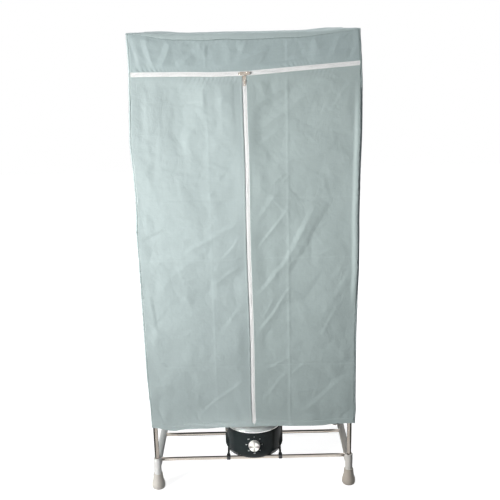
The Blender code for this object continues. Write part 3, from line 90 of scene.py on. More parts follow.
class Value:
    """A node's output. Python arithmetic on it adds Math nodes to the same material."""

    def __init__(self, finish, socket):
        self.finish = finish
        self.socket = socket

    def _math(self, operation, *operands):
        sockets = dict(enumerate(operands))
        return self.finish.node("ShaderNodeMath", {"operation": operation}, sockets)

    def __add__(self, other):
        return self._math("ADD", self, other)

    __radd__ = __add__

    def __sub__(self, other):
        return self._math("SUBTRACT", self, other)

    def __rsub__(self, other):
        return self._math("SUBTRACT", other, self)

    def __mul__(self, other):
        return self._math("MULTIPLY", self, other)

    def __pow__(self, other):
        return self._math("POWER", self, other)

    def __abs__(self):
        return self._math("ABSOLUTE", self)

    def wave(self):
        return self._math("SINE", self)

    def angle_from(self, other):
        return self._math("ARCTAN2", self, other)

    def between(self, low, high):
        """0 at low and 1 at high, eased."""
        settings = {"interpolation_type": "SMOOTHSTEP"}
        sockets = {"Value": self, "From Min": low, "From Max": high}
        return self.finish.node("ShaderNodeMapRange", settings, sockets)


def linear(colour):
    """A colour as seen on screen, 0 to 255, in the renderer's linear values."""
    shares = [channel / 255 for channel in colour]
    low = [share / 12.92 for share in shares]
    high = [((share + 0.055) / 1.055) ** 2.4 for share in shares]
    return tuple(a if share <= 0.04045 else b for share, a, b in zip(shares, low, high)) + (1.0,)


class Finish:
    """One material. Constants go on the shader's own sockets; nodes feed only what varies."""

    def __init__(self, name, colour, roughness, metallic=0.0, **constants):
        self.material = bpy.data.materials.new(name)
        self.material.use_nodes = True
        self.tree = self.material.node_tree
        self.tree.nodes.clear()
        self.shader = self.tree.nodes.new("ShaderNodeBsdfPrincipled")
        output = self.tree.nodes.new("ShaderNodeOutputMaterial")
        self.tree.links.new(self.shader.outputs["BSDF"], output.inputs["Surface"])
        self.colour = linear(colour)
        self.shader.inputs["Base Color"].default_value = self.colour
        self.shader.inputs["Roughness"].default_value = roughness
        self.shader.inputs["Metallic"].default_value = metallic
        for socket, value in constants.items():
            self.shader.inputs[socket.replace("_", " ")].default_value = value
        self.material.diffuse_color = self.colour

    def node(self, kind, settings=None, sockets=None, output=0):
        given = {
            key: value.socket if isinstance(value, Value) else value
            for key, value in (sockets or {}).items()
        }
        return Value(self, add_node(self.tree, kind, settings, given, output))

    def place(self, scale=(1, 1, 1), shift=(0, 0, 0)):
        """Object coordinates, scaled and shifted."""
        where = self.node("ShaderNodeTexCoord", output="Object")
        sockets = {"Vector": where, "Scale": scale, "Location": shift}
        return self.node("ShaderNodeMapping", {}, sockets)

    def axis(self, place, index):
        return self.node("ShaderNodeSeparateXYZ", {}, {"Vector": place}, output=index)

    def noise(self, place, scale, detail=2.0, roughness=0.5, distortion=0.0):
        sockets = {"Vector": place, "Scale": scale, "Detail": detail}
        sockets.update({"Roughness": roughness, "Distortion": distortion})
        return self.node("ShaderNodeTexNoise", {}, sockets)

    def attribute(self, name):
        return self.node("ShaderNodeAttribute", {"attribute_name": name}, {}, "Fac")

    def mix(self, factor, first, second):
        """Colours: first at 0, second at 1."""
        sockets = {0: factor, 6: first, 7: second}
        return self.node("ShaderNodeMix", {"data_type": "RGBA"}, sockets, 2)

    def share(self, amount, offset=0.0):
        """The base colour times an amount."""
        return tuple(min(channel * amount + offset, 1) for channel in self.colour[:3]) + (1,)

    def shade(self, amount, dark, light):
        """The base colour between two shares of itself as amount goes from 0 to 1."""
        return self.mix(amount, self.share(dark), self.share(light))

    def bump(self, height, distance, strength=1.0, below=None):
        sockets = {"Height": height, "Distance": distance, "Strength": strength}
        if below is not None:
            sockets["Normal"] = below
        return self.node("ShaderNodeBump", {}, sockets)

    def feed(self, **sources):
        for socket, value in sources.items():
            self.tree.links.new(value.socket, self.shader.inputs[socket.replace("_", " ")])
        return self.material


THREAD_PITCH = 0.0009
TWILL_PITCH = 0.0011
LATHE_PITCH = 0.0006


def make_cover_cloth(name="cover_cloth", colour=(179, 193, 193)):
    """Coated woven polyester: a plain weave, slow mottling, and a painted highlight along the fold
    lines left by packing, which the cloth's own point attribute places."""
    sheen = {"Sheen_Weight": 0.22, "Sheen_Roughness": 0.5}
    finish = Finish(name, colour, 0.52, Specular_IOR_Level=0.30, **sheen)
    place = finish.place()
    mottle = finish.noise(place, 6, 4, 0.6)
    slub = finish.noise(finish.place((240, 240, 26)), 1, 3, 0.6)
    other_slub = finish.noise(finish.place((26, 26, 240)), 1, 3, 0.6)
    painted_fold_highlight = finish.attribute("painted_fold_highlight")
    tone = (mottle * 0.5 + slub * 0.25 + other_slub * 0.25).between(0.3, 0.7)
    colour = finish.shade(tone, 0.95, 1.04)
    # Painted highlight: the cloth is painted paler along its pressed fold lines
    colour = finish.mix(painted_fold_highlight * 0.6, colour, finish.share(1.25, 0.03))
    over = (finish.axis(place, 0) + finish.axis(place, 1)) * (TURN / THREAD_PITCH)
    up = finish.axis(place, 2) * (TURN / THREAD_PITCH)
    weave = over.wave() * up.wave() * 0.5 + 0.5
    crinkle = finish.noise(place, 30, 5, 0.62, 0.6)
    soft = finish.bump(crinkle, 0.0026, 0.6)
    normal = finish.bump(weave, 0.00010, 0.5, soft)
    roughness = 0.44 + mottle * 0.10 + weave * 0.08
    return finish.feed(Base_Color=colour, Roughness=roughness, Normal=normal)


def make_zip_tape():
    """Herringbone tape in white."""
    finish = Finish("zip_tape", (240, 241, 240), 0.70, Sheen_Weight=0.2)
    place = finish.place()
    slant = (finish.axis(place, 0) + finish.axis(place, 2)) * (TURN / TWILL_PITCH)
    other = (finish.axis(place, 0) - finish.axis(place, 2)) * (TURN / TWILL_PITCH)
    ribs = (slant.wave() + other.wave()) * 0.25 + 0.5
    soil = finish.noise(place, 60, 3).between(0.2, 0.7)
    return finish.feed(
        Base_Color=finish.shade(soil * 0.6 + ribs * 0.4, 0.90, 1.03),
        Normal=finish.bump(ribs, 0.00012, 0.6),
    )


def make_zip_coil():
    finish = Finish("zip_coil", (250, 250, 250), 0.45)
    soil = finish.noise(finish.place(), 240, 2)
    return finish.feed(
        Base_Color=finish.shade(soil.between(0.2, 0.6), 0.95, 1.0), Roughness=0.4 + soil * 0.16
    )


def make_thread():
    finish = Finish("thread", (176, 190, 189), 0.6, Sheen_Weight=0.3)
    twist = finish.noise(finish.place((900, 900, 900)), 1, 2)
    return finish.feed(Base_Color=finish.shade(twist, 0.84, 1.08))


def make_metal(name, colour, roughness, grain, wear):
    """Metal with fine drawn lines along whichever axis the grain leaves unstretched."""
    finish = Finish(name, colour, roughness, 1.0)
    lines = finish.noise(finish.place(grain), 1, 4, 0.65)
    smudge = finish.noise(finish.place(), 22, 4, 0.6)
    tone = (lines * 0.4 + smudge * 0.6).between(0.3, 0.7)
    return finish.feed(
        Base_Color=finish.shade(tone, 1 - wear, 1.05),
        Roughness=(roughness - 0.05) + lines * 0.08 + smudge * 0.06,
        Normal=finish.bump(lines, 0.00001, 0.5),
    )


def make_plastic(name, colour, roughness, grain=900, depth=0.00005, dirt=0.06, **constants):
    """Moulded plastic with a fine eroded texture and a little handling soil."""
    finish = Finish(name, colour, roughness, **constants)
    texture = finish.noise(finish.place(), grain, 3, 0.6)
    soil = finish.noise(finish.place(), 26, 5, 0.65).between(0.35, 0.75)
    return finish.feed(
        Base_Color=finish.shade(soil, 1 - dirt, 1.02),
        Roughness=(roughness - 0.04) + soil * 0.05 + texture * 0.06,
        Normal=finish.bump(texture, depth, 0.4),
    )


def make_cap_rubber(name, colour):
    """Soft feet: scuffed and greyer towards the floor."""
    finish = Finish(name, colour, 0.56)
    place = finish.place()
    height = finish.axis(place, 2)
    scuff = finish.noise(finish.place((60, 60, 14)), 1, 6, 0.7).between(0.45, 0.7)
    low = 1 - height.between(0.0, 0.020)
    soil = scuff * 0.35 + low * scuff * 0.65 + low * 0.15
    grain = finish.noise(place, 700, 3)
    return finish.feed(
        Base_Color=finish.mix(soil, finish.share(1.0), finish.share(0.74)),
        Roughness=0.50 + scuff * 0.12,
        Normal=finish.bump(grain, 0.00006, 0.4),
    )


def make_enamel():
    """Glossy black paint on the drum: a slow orange peel and a little dust."""
    finish = Finish("black_enamel", (31, 38, 39), 0.24, Specular_IOR_Level=0.10)
    peel = finish.noise(finish.place(), 300, 2)
    dust = finish.noise(finish.place(), 80, 6, 0.7).between(0.5, 0.8)
    return finish.feed(
        Base_Color=finish.shade(dust, 0.92, 1.35),
        Roughness=0.17 + dust * 0.12,
        Normal=finish.bump(peel, 0.00004, 0.4),
    )


def make_dome_paint():
    """Silver lacquer with fine flake."""
    finish = Finish("dome_silver", (206, 213, 212), 0.6, 0.05, Specular_IOR_Level=0.3)
    flake = finish.noise(finish.place(), 1400, 2)
    soil = finish.noise(finish.place(), 30, 5, 0.65).between(0.4, 0.8)
    return finish.feed(
        Base_Color=finish.shade(flake * 0.5 + soil * 0.5, 0.92, 1.03), Roughness=0.30 + soil * 0.12
    )


def middle_of(node_name):
    low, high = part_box(node_name)
    return (low + high) / 2


KNOB_X, _, KNOB_Z = middle_of("timer_knob")


def make_spun_aluminium():
    """The knob's face, turned on a lathe: fine rings, and a painted reflection of the bright fans
    and dark wedges that such a face shows, fixed to the knob."""
    finish = Finish("spun_aluminium", (246, 245, 242), 0.45, 0.3)
    place = finish.place(shift=(-KNOB_X, 0, -KNOB_Z))
    across = finish.axis(place, 0)
    up = finish.axis(place, 2)
    radius = (across * across + up * up) ** 0.5
    rings = (radius * (TURN / LATHE_PITCH)).wave() * 0.5 + 0.5
    angle = up.angle_from(across)
    uneven = finish.noise(place, 420, 2)
    # Painted reflection: bright fans on the diagonals and dark wedges to the left and right, by
    # angle round the centre
    fans = abs((angle * 2 + uneven * 0.5 - 0.25).wave())
    upright = abs(angle.wave())
    tone = fans * 0.72 + upright * 0.22 + uneven * 0.06
    fan_reflection_colour = finish.mix(tone.between(0.12, 0.80), linear((140, 133, 124)), finish.share(1.05))
    return finish.feed(
        Base_Color=fan_reflection_colour, Roughness=0.42 + uneven * 0.1, Normal=finish.bump(rings, 0.00005, 0.4)
    )


CLOTH_FINISH = make_cover_cloth()
# Painted shade: copies of the cloth painted darker for the header and the right flap, where less
# light falls
HEADER_SHADE_FINISH = make_cover_cloth("cover_cloth_header_painted_shade", (170, 185, 186))
RIGHT_SHADE_FINISH = make_cover_cloth("cover_cloth_right_painted_shade", (173, 187, 186))
# Painted shade: the seam binding is painted darker than the cloth, for the thin shadow line along
# the seams
SEAM_SHADE_FINISH = make_plastic("cover_binding_painted_shade", (122, 138, 138), 0.7)
TAPE_FINISH = make_zip_tape()
COIL_FINISH = make_zip_coil()
THREAD_FINISH = make_thread()
ZIP_METAL = make_metal("zip_metal", (206, 196, 184), 0.16, (500, 500, 500), 0.30)
# Painted light and reflection: three copies of one steel, the rails that run across painted lighter
# than the posts and the rails that run deep, all tinted warm grey for the room that they would
# reflect
STEEL_UP = make_metal("steel_upright", (160, 153, 145), 0.16, (700, 700, 5), 0.12)
STEEL_ACROSS = make_metal("steel_across", (196, 188, 179), 0.16, (5, 700, 700), 0.12)
STEEL_DEEP = make_metal("steel_deep", (168, 158, 148), 0.16, (700, 5, 700), 0.12)
# Painted light and shade: lit and shaded copies of each plastic, the right side's painted darker
# than the left's as the light falls from the left; keyed by the sign of x
CAP_RUBBER = {
    -1: make_cap_rubber("cap_rubber", (222, 217, 209)),
    1: make_cap_rubber("cap_rubber_painted_shade", (190, 181, 170)),
}
SLEEVE_PLASTIC = {
    -1: make_plastic("sleeve_plastic", (249, 249, 247), 0.42),
    1: make_plastic("sleeve_plastic_painted_shade", (222, 219, 213), 0.46),
}
BAR_PLASTIC = {
    -1: make_plastic("bar_plastic", (240, 244, 242), 0.46, 500, 0.0001, 0.06),
    1: make_plastic("bar_plastic_painted_shade", (176, 172, 166), 0.5, 500, 0.0001, 0.12),
}
JOINT_PLASTIC = make_plastic("connector_plastic", (226, 226, 222), 0.45)
BLACK_PLASTIC = make_plastic("black_plastic", (36, 37, 38), 0.48)
FAN_PLASTIC = make_plastic("fan_plastic", (120, 122, 124), 0.42)
ENAMEL = make_enamel()
DOME_SILVER = make_dome_paint()
BRIGHT_TRIM = make_metal("bright_trim", (232, 233, 231), 0.18, (200, 200, 900), 0.08)
KNOB_METAL = make_spun_aluminium()
KNOB_SIDE = make_plastic("knob_side", (232, 231, 227), 0.4)
MARK_PAINT = make_plastic("mark_paint", (214, 222, 218), 0.5)
MOTOR_STEEL = make_metal("motor_steel", (150, 150, 148), 0.35, (300, 300, 300), 0.2)
CERAMIC = make_plastic("heater_frame", (226, 222, 210), 0.6)

# Meshes


def in_scene(made):
    objects = bpy.context.scene.collection.objects
    if made.name not in objects:
        objects.link(made)
    return made


def link(made, body=None, slot=None, *nodes):
    """Puts a finished piece in the scene, on its body, in place of its nodes."""
    in_scene(made)
    if body:
        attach(made, body)
    if nodes:
        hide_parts(*nodes)
    return made


def shade(mesh, sharp_degrees=None):
    """Smooth faces, with the edges that turn further than the angle kept crisp."""
    mesh.polygons.foreach_set("use_smooth", [True] * len(mesh.polygons))
    if sharp_degrees:
        mesh.set_sharp_from_angle(angle=math.radians(sharp_degrees))
    mesh.update()


def piece_from(name, points, faces, finish):
    """A mesh object at the origin, with its place in its points."""
    mesh = bpy.data.meshes.new(name)
    mesh.from_pydata([tuple(point) for point in points], [], [tuple(face) for face in faces])
    mesh.materials.append(finish)
    shade(mesh)
    return bpy.data.objects.new(name, mesh)


def tidy_mesh(mesh, sharp_degrees):
    """Merges doubles and turns the faces outwards."""
    made = bmesh.new()
    made.from_mesh(mesh)
    bmesh.ops.remove_doubles(made, verts=made.verts, dist=1e-7)
    bmesh.ops.dissolve_degenerate(made, dist=1e-8, edges=made.edges)
    bmesh.ops.recalc_face_normals(made, faces=made.faces)
    made.to_mesh(mesh)
    made.free()
    shade(mesh, sharp_degrees)


def evaluated(source, name):
    """A plain mesh object of what an object's modifiers make."""
    bpy.context.view_layer.update()
    ready = source.evaluated_get(bpy.context.evaluated_depsgraph_get())
    mesh = bpy.data.meshes.new_from_object(ready)
    source.modifiers.clear()
    bpy.data.objects.remove(source)
    mesh.name = name
    return in_scene(bpy.data.objects.new(name, mesh))


def fillet(points, radii, steps=4):
    """A (radius, height) outline with its corners rounded; radii has one per point."""
    count = len(points)
    outline = []
    for index, (point, radius) in enumerate(zip(points, radii)):
        here = np.array(point, float)
        if radius <= 0:
            outline.append(tuple(here))
            continue
        before = np.array(points[index - 1], float) - here
        after = np.array(points[(index + 1) % count], float) - here
        reach = min(np.linalg.norm(before), np.linalg.norm(after)) * 0.49
        before /= np.linalg.norm(before)
        after /= np.linalg.norm(after)
        half = math.acos(max(-1, min(1, before @ after))) / 2
        run = min(radius / math.tan(half), reach)
        start, end = here + before * run, here + after * run
        for step in range(steps + 1):
            share = step / steps
            low = start * (1 - share) + here * share
            high = here * (1 - share) + end * share
            outline.append(tuple(low * (1 - share) + high * share))
    return outline


def wrapped_faces(rings, count):
    """Faces between neighbouring rings of points, closed both ways."""
    faces = []
    for ring in range(rings):
        here, following = ring * count, (ring + 1) % rings * count
        for index in range(count):
            beyond = (index + 1) % count
            corners = (here + index, following + index, following + beyond, here + beyond)
            faces.append(corners)
    return faces


def lathe(name, outline, finish, centre=(0, 0, 0), axis=(0, 0, 1), sides=64):
    """A turned piece: a closed (radius, height) outline spun about an axis through centre."""
    radius, height = np.array(outline, float).T
    angles = (np.arange(sides) * TURN / sides)[:, None]
    level = np.broadcast_to(height[None], (sides, len(height)))
    rings = np.stack([radius[None] * np.cos(angles), radius[None] * np.sin(angles), level], 2)
    turn = Vector((0, 0, 1)).rotation_difference(Vector(axis)).to_matrix()
    points = rings.reshape(-1, 3) @ np.array(turn).T + np.array(centre)
    made = piece_from(name, points, wrapped_faces(sides, len(height)), finish)
    tidy_mesh(made.data, 38)
    return made


def pipe(name, start, end, radius, wall, finish):
    """A tube with a real bore and slightly rounded ends."""
    along = Vector(end) - Vector(start)
    bore, length = radius - wall, along.length
    outline = [(bore, 0), (radius, 0), (radius, length), (bore, length)]
    outline = fillet(outline, [wall * 0.4] * 4, 3)
    return lathe(name, outline, finish, start, along.normalized(), 40)


CORD_SIDES = 8


def bead(name, path, radius, finish):
    """A closed round cord along a path of points."""
    path = np.asarray(path, float)
    tangent = np.gradient(path, axis=0)
    tangent /= np.linalg.norm(tangent, axis=1, keepdims=True) + 1e-12
    rough = np.where(np.abs(tangent[:, 2:]) > 0.8, (1.0, 0, 0), (0, 0, 1.0))
    first = np.cross(tangent, rough)
    first /= np.linalg.norm(first, axis=1, keepdims=True)
    second = np.cross(tangent, first)
    angles = (np.arange(CORD_SIDES) * TURN / CORD_SIDES)[None, :, None]
    ring = first[:, None] * np.cos(angles) + second[:, None] * np.sin(angles)
    points = (path[:, None] + ring * radius).reshape(-1, 3)
    faces = []
    for low in range(0, len(points) - CORD_SIDES, CORD_SIDES):
        high = low + CORD_SIDES
        for side in range(CORD_SIDES):
            following = (side + 1) % CORD_SIDES
            faces.append((low + side, low + following, high + following, high + side))
    faces.append(tuple(range(CORD_SIDES)))
    faces.append(tuple(range(len(points) - 1, len(points) - 1 - CORD_SIDES, -1)))
    made = piece_from(name, points, faces, finish)
    tidy_mesh(made.data, 60)
    return made


def refined(node_name, finish, body, slot, bevel=0.0004, sharp=34):
    """A node's shape with merged points, rounded edges and smooth sides."""
    mesh = frame["nodes"][node_name].data.copy()
    made = bmesh.new()
    made.from_mesh(mesh)
    bmesh.ops.remove_doubles(made, verts=made.verts, dist=2e-6)
    bmesh.ops.dissolve_limit(
        made, angle_limit=math.radians(0.6), verts=made.verts, edges=made.edges
    )
    bmesh.ops.recalc_face_normals(made, faces=made.faces)
    made.to_mesh(mesh)
    made.free()
    mesh.materials.clear()
    mesh.materials.append(finish)
    source = in_scene(bpy.data.objects.new(node_name + "_rough", mesh))
    rounding = source.modifiers.new("rounding", "BEVEL")
    rounding.width = bevel
    rounding.segments = 2
    rounding.limit_method = "ANGLE"
    rounding.angle_limit = math.radians(sharp)
    rounding.use_clamp_overlap = True
    piece = evaluated(source, node_name + "_piece")
    shade(piece.data, sharp + 6)
    return link(piece, body, slot, node_name)


def combined(target, others, operation, name):
    """A closed piece with closed shapes added to it or taken out of it."""
    target.name = name + "_whole"
    for other in others:
        step = target.modifiers.new("shape", "BOOLEAN")
        step.operation = operation
        step.solver = "EXACT"
        step.object = in_scene(other)
    made = evaluated(in_scene(target), name)
    for other in others:
        bpy.data.objects.remove(other)
    shade(made.data, 35)
    return made


def cut_away(target, cutters):
    return combined(target, cutters, "DIFFERENCE", target.name)


def block(name, low, high):
    points = [tuple(pick) for pick in itertools.product(*zip(low, high))]
    faces = [(0, 1, 3, 2), (4, 6, 7, 5), (0, 4, 5, 1), (2, 3, 7, 6), (0, 2, 6, 4), (1, 5, 7, 3)]
    made = piece_from(name, points, faces, BLACK_PLASTIC)
    tidy_mesh(made.data, 30)
    return made


def grid_faces(columns, rows, start=0, flipped=False):
    index = np.arange(columns * rows).reshape(rows, columns) + start
    corners = [index[:-1, :-1], index[:-1, 1:], index[1:, 1:], index[1:, :-1]]
    faces = np.stack([corner.ravel() for corner in corners], 1)
    return faces[:, ::-1] if flipped else faces


def rim_faces(columns, rows, flipped=False):
    count = rows * columns
    rim = np.concatenate(
        [
            np.arange(columns),
            np.arange(1, rows) * columns + columns - 1,
            (rows - 1) * columns + np.arange(columns - 2, -1, -1),
            np.arange(rows - 2, 0, -1) * columns,
        ]
    )
    following = np.roll(rim, -1)
    sides = np.stack([rim, rim + count, following + count, following], 1)
    return sides[:, ::-1] if flipped else sides


def surface_normals(points, flipped=False):
    normal = np.cross(np.gradient(points, axis=1), np.gradient(points, axis=0))
    normal /= np.linalg.norm(normal, axis=2, keepdims=True) + 1e-12
    return -normal if flipped else normal


def sheet_mesh(name, points, thickness, finish, flipped=False):
    """A closed sheet from a grid of outer points (rows, columns, 3), its inner face one
    thickness behind. flipped is for a grid that runs the other way round."""
    rows, columns = points.shape[:2]
    inner = points - surface_normals(points, flipped) * thickness
    count = rows * columns
    faces = np.concatenate(
        [
            grid_faces(columns, rows, 0, flipped),
            grid_faces(columns, rows, count, not flipped),
            rim_faces(columns, rows, flipped),
        ]
    )
    allpoints = np.concatenate([points.reshape(-1, 3), inner.reshape(-1, 3)])
    return piece_from(name, allpoints, faces.tolist(), finish)


# Geometry Nodes for what repeats along a seam or a zip


def new_tree(name, kinds, result):
    """A group with named inputs of the given kinds. Gives its identifiers too."""
    tree = bpy.data.node_groups.new(name, "GeometryNodeTree")
    ids = {}
    for label, (kind, value) in kinds.items():
        socket = tree.interface.new_socket(label, in_out="INPUT", socket_type="NodeSocket" + kind)
        if value is not None:
            socket.default_value = value
        ids[label] = socket.identifier
    tree.interface.new_socket(result, in_out="OUTPUT", socket_type="NodeSocketGeometry")
    return tree, ids


def finish_tree(tree, geometry, finish, result):
    """Ends a tree with plain geometry in its own material."""
    coloured = add_node(
        tree, "GeometryNodeSetMaterial", {}, {"Geometry": geometry, "Material": finish}
    )
    add_node(tree, "NodeGroupOutput", {}, {result: coloured})


def turned_along(tree, direction, **settings):
    """A rotation that lays the x axis along a direction."""
    kind = "FunctionNodeAlignRotationToVector"
    return add_node(tree, kind, {"axis": "X", **settings}, {"Vector": direction})


def copies(tree, points, shape, rotation):
    sockets = {"Points": points, "Instance": shape, "Rotation": rotation}
    return add_node(tree, "GeometryNodeInstanceOnPoints", {}, sockets)


def beads_tree(name, finish):
    """Long beads at an even pitch along the edges of a wire, each turned along it."""
    kinds = {"Wire": ("Geometry", None), "Pitch": ("Float", 0.0045), "Length": ("Float", 0.0030)}
    kinds.update({"Width": ("Float", 0.0005), "Height": ("Float", 0.0005)})
    kinds["Wander"] = ("Float", 0.04)
    tree, ids = new_tree(name, kinds, "Beads")
    given = tree.nodes.new("NodeGroupInput").outputs
    curve = add_node(tree, "GeometryNodeMeshToCurve", {}, {"Mesh": given["Wire"]})
    sockets = {"Curve": curve, "Length": given["Pitch"]}
    spaced = add_node(tree, "GeometryNodeResampleCurve", {"mode": "LENGTH"}, sockets)
    turn = turned_along(tree, add_node(tree, "GeometryNodeInputTangent"))
    sockets = {"Segments": 6, "Rings": 4, "Radius": 0.5}
    ball = add_node(tree, "GeometryNodeMeshUVSphere", {}, sockets)
    sockets = {"X": given["Length"], "Y": given["Width"], "Z": given["Height"]}
    size = add_node(tree, "ShaderNodeCombineXYZ", {}, sockets)
    shape = add_node(tree, "GeometryNodeTransform", {}, {"Geometry": ball, "Scale": size})
    placed = copies(tree, spaced, shape, turn)
    limits = []
    for sign in (-1, 1):
        sockets = {0: (sign, sign, sign), "Scale": given["Wander"]}
        limits.append(add_node(tree, "ShaderNodeVectorMath", {"operation": "SCALE"}, sockets))
    sockets = {0: limits[0], 1: limits[1], "Seed": 7}
    sway = add_node(tree, "FunctionNodeRandomValue", {"data_type": "FLOAT_VECTOR"}, sockets)
    sockets = {"Instances": placed, "Rotation": sway}
    nudged = add_node(tree, "GeometryNodeRotateInstances", {}, sockets)
    real = add_node(tree, "GeometryNodeRealizeInstances", {}, {"Geometry": nudged})
    soft = add_node(tree, "GeometryNodeSetShadeSmooth", {}, {"Geometry": real})
    finish_tree(tree, soft, finish, "Beads")
    return tree, ids


def grow(name, mesh, tree_and_ids, sizes):
    """Runs a tree on a mesh and keeps the result as a plain mesh object."""
    tree, ids = tree_and_ids
    source = in_scene(bpy.data.objects.new(name + "_seed", mesh))
    growing = source.modifiers.new("growing", "NODES")
    growing.node_group = tree
    for label, value in sizes.items():
        growing[ids[label]] = value
    return evaluated(source, name)


def grow_along(name, paths, tree_and_ids, **sizes):
    """Runs a beads tree over several paths."""
    points, edges = [], []
    for path in paths:
        first = len(points)
        points.extend(tuple(point) for point in path)
        edges.extend((first + index, first + index + 1) for index in range(len(path) - 1))
    mesh = bpy.data.meshes.new(name + "_wire")
    mesh.from_pydata(points, edges, [])
    return grow(name, mesh, tree_and_ids, sizes)


STITCH_TREE = beads_tree("stitches", THREAD_FINISH)
TOOTH_TREE = beads_tree("zip_teeth", COIL_FINISH)

# Cloth fields: heights of folds, puckers and pressed lines, in metres


CREASE_DEPTH = 0.9
CREASE_WARP = 0.0045
LATTICE = 263
LATTICE_SHIFT = 40
# Handled nylon's faces, coarse to fine: (cell, height, turn)
FACETS = ((0.150, 0.0044, 0.5), (0.070, 0.0026, 1.2), (0.034, 0.0013, -0.4), (0.017, 0.00048, 0.8))


def smooth(value):
    clamped = np.clip(value, 0, 1)
    return clamped * clamped * (3 - 2 * clamped)


def lattice_at(u, v, cell, seed):
    """Random values at the four corners of each point's cell, and the place within it."""
    lattice = np.random.default_rng(seed).uniform(-1, 1, (LATTICE, LATTICE))
    a, b = u / cell + LATTICE_SHIFT, v / cell + LATTICE_SHIFT
    i, j = np.floor(a).astype(int), np.floor(b).astype(int)
    steps = ((0, 0), (1, 0), (0, 1), (1, 1))
    corners = [lattice[(i + di) % LATTICE, (j + dj) % LATTICE] for di, dj in steps]
    return a - i, b - j, corners


def noise(u, v, cell, seed):
    """Smooth random heights from -1 to 1."""
    p, q, (near, right, above, across) = lattice_at(u, v, cell, seed)
    p, q = smooth(p), smooth(q)
    low = near * (1 - p) + right * p
    high = above * (1 - p) + across * p
    return low * (1 - q) + high * q


def facets(u, v, cell, seed):
    """Flat faces that meet in crisp edges, as pressed cloth has them, from -1 to 1."""
    p, q, (near, right, above, across) = lattice_at(u, v, cell, seed)
    low = near + p * (right - near) + q * (above - near)
    high = across + (1 - p) * (above - across) + (1 - q) * (right - across)
    return np.where(p + q < 1, low, high)


def crumple(u, v, seed):
    """The creased faces of handled nylon."""
    warped_u = u + 0.014 * noise(u, v, 0.07, seed)
    warped_v = v + 0.014 * noise(u, v, 0.07, seed + 1)
    total = 0
    for index, (cell, height, turn) in enumerate(FACETS):
        over = warped_u * math.cos(turn) + warped_v * math.sin(turn)
        along = (warped_v * math.cos(turn) - warped_u * math.sin(turn)) * 0.7
        patch = 0.25 + 0.75 * smooth(0.5 + noise(u, v, cell * 1.9, seed + 9 + index))
        total = total + height * facets(over, along, cell, seed + 2 + index) * patch
    return total


def creases_over(u, v, creases, seed):
    """Heights of the creases at (u, v). Each is (u0, v0, u1, v1, width, height) in mm: a flat
    face of that width on the left of its line, and a slow fall on the right."""
    u = u + CREASE_WARP * noise(u, v, 0.055, seed)
    v = v + CREASE_WARP * noise(u, v, 0.055, seed + 1)
    total = np.zeros_like(u)
    for u0, v0, u1, v1, width, height in creases:
        start = np.array((u0, v0)) * MM
        along = np.array((u1, v1)) * MM - start
        length = np.hypot(*along)
        along = along / length
        du, dv = u - start[0], v - start[1]
        share = (du * along[0] + dv * along[1]) / length
        beyond = np.maximum(np.maximum(-share, share - 1), 0) * length
        right = 1 if along[1] >= 0 else -1
        face = width * MM
        across = right * (du * along[1] - dv * along[0]) / face
        rise = np.clip(across + 1, 0, 1) * np.exp(-np.maximum(across, 0) / 1.8)
        ends = np.exp(-((beyond / face) ** 2))
        taper = 0.45 + 0.55 * np.sin(math.pi * np.clip(share, 0, 1)) ** 0.7
        total += CREASE_DEPTH * height * MM * taper * rise * ends
    return total


def stray_creases(low, high, count, seed):
    """Many short sharp creases, left by handling, in the creases' own form."""
    picks = np.random.default_rng(seed)
    made = []
    for _ in range(count):
        u, v = picks.uniform(low, high)
        turn = picks.choice((0.9, 1.9, 2.6)) + picks.normal(0, 0.3)
        length = picks.uniform(25, 120)
        width = picks.uniform(3, 11)
        height = picks.choice((-1, 1)) * picks.uniform(0.04, 0.11) * width
        end = (u + length * math.cos(turn), v + length * math.sin(turn))
        made.append((u, v, *end, width, height))
    return made


def puckers(distance, along, pitch, reach, height, seed, slant=0.45):
    """Small gathers that a row of stitches pulls into the cloth beside it."""
    drift = noise(along, distance * 0, 0.05, seed)
    phase = TURN * (along + slant * distance) / pitch + 4.2 * drift
    strength = 0.1 + 0.9 * smooth(0.35 + 0.9 * noise(along, distance * 0, 0.075, seed + 1))
    rise = smooth(distance / 0.004)
    return height * strength * np.sin(phase) * rise * np.exp(-np.abs(distance) / reach)


def press_lines(u, v, uprights, levels, seed):
    """(height, painted highlight) of the fold lines left from packing."""
    drift = 0.0012 * noise(u, v, 0.09, seed)
    height = np.zeros_like(u)
    fold_highlight = np.zeros_like(u)
    for place, strength in uprights:
        line = np.exp(-np.abs(u - place + drift) / 0.0028)
        patch = 0.35 + 0.65 * smooth(0.5 + noise(u * 0, v, 0.11, seed + int(abs(place) * 1000)))
        height += 0.0009 * strength * line
        fold_highlight += strength * np.exp(-(((u - place + drift) / 0.0022) ** 2)) * patch
    for place, strength in levels:
        line = np.exp(-np.abs(v - place + drift) / 0.0032)
        patch = 0.25 + 0.75 * smooth(0.5 + noise(u, v * 0, 0.12, seed + int(place * 1000)))
        height -= 0.0008 * strength * line
        fold_highlight += 0.6 * strength * np.exp(-(((v - place + drift) / 0.0022) ** 2)) * patch
    return height, np.clip(fold_highlight, 0, 1)


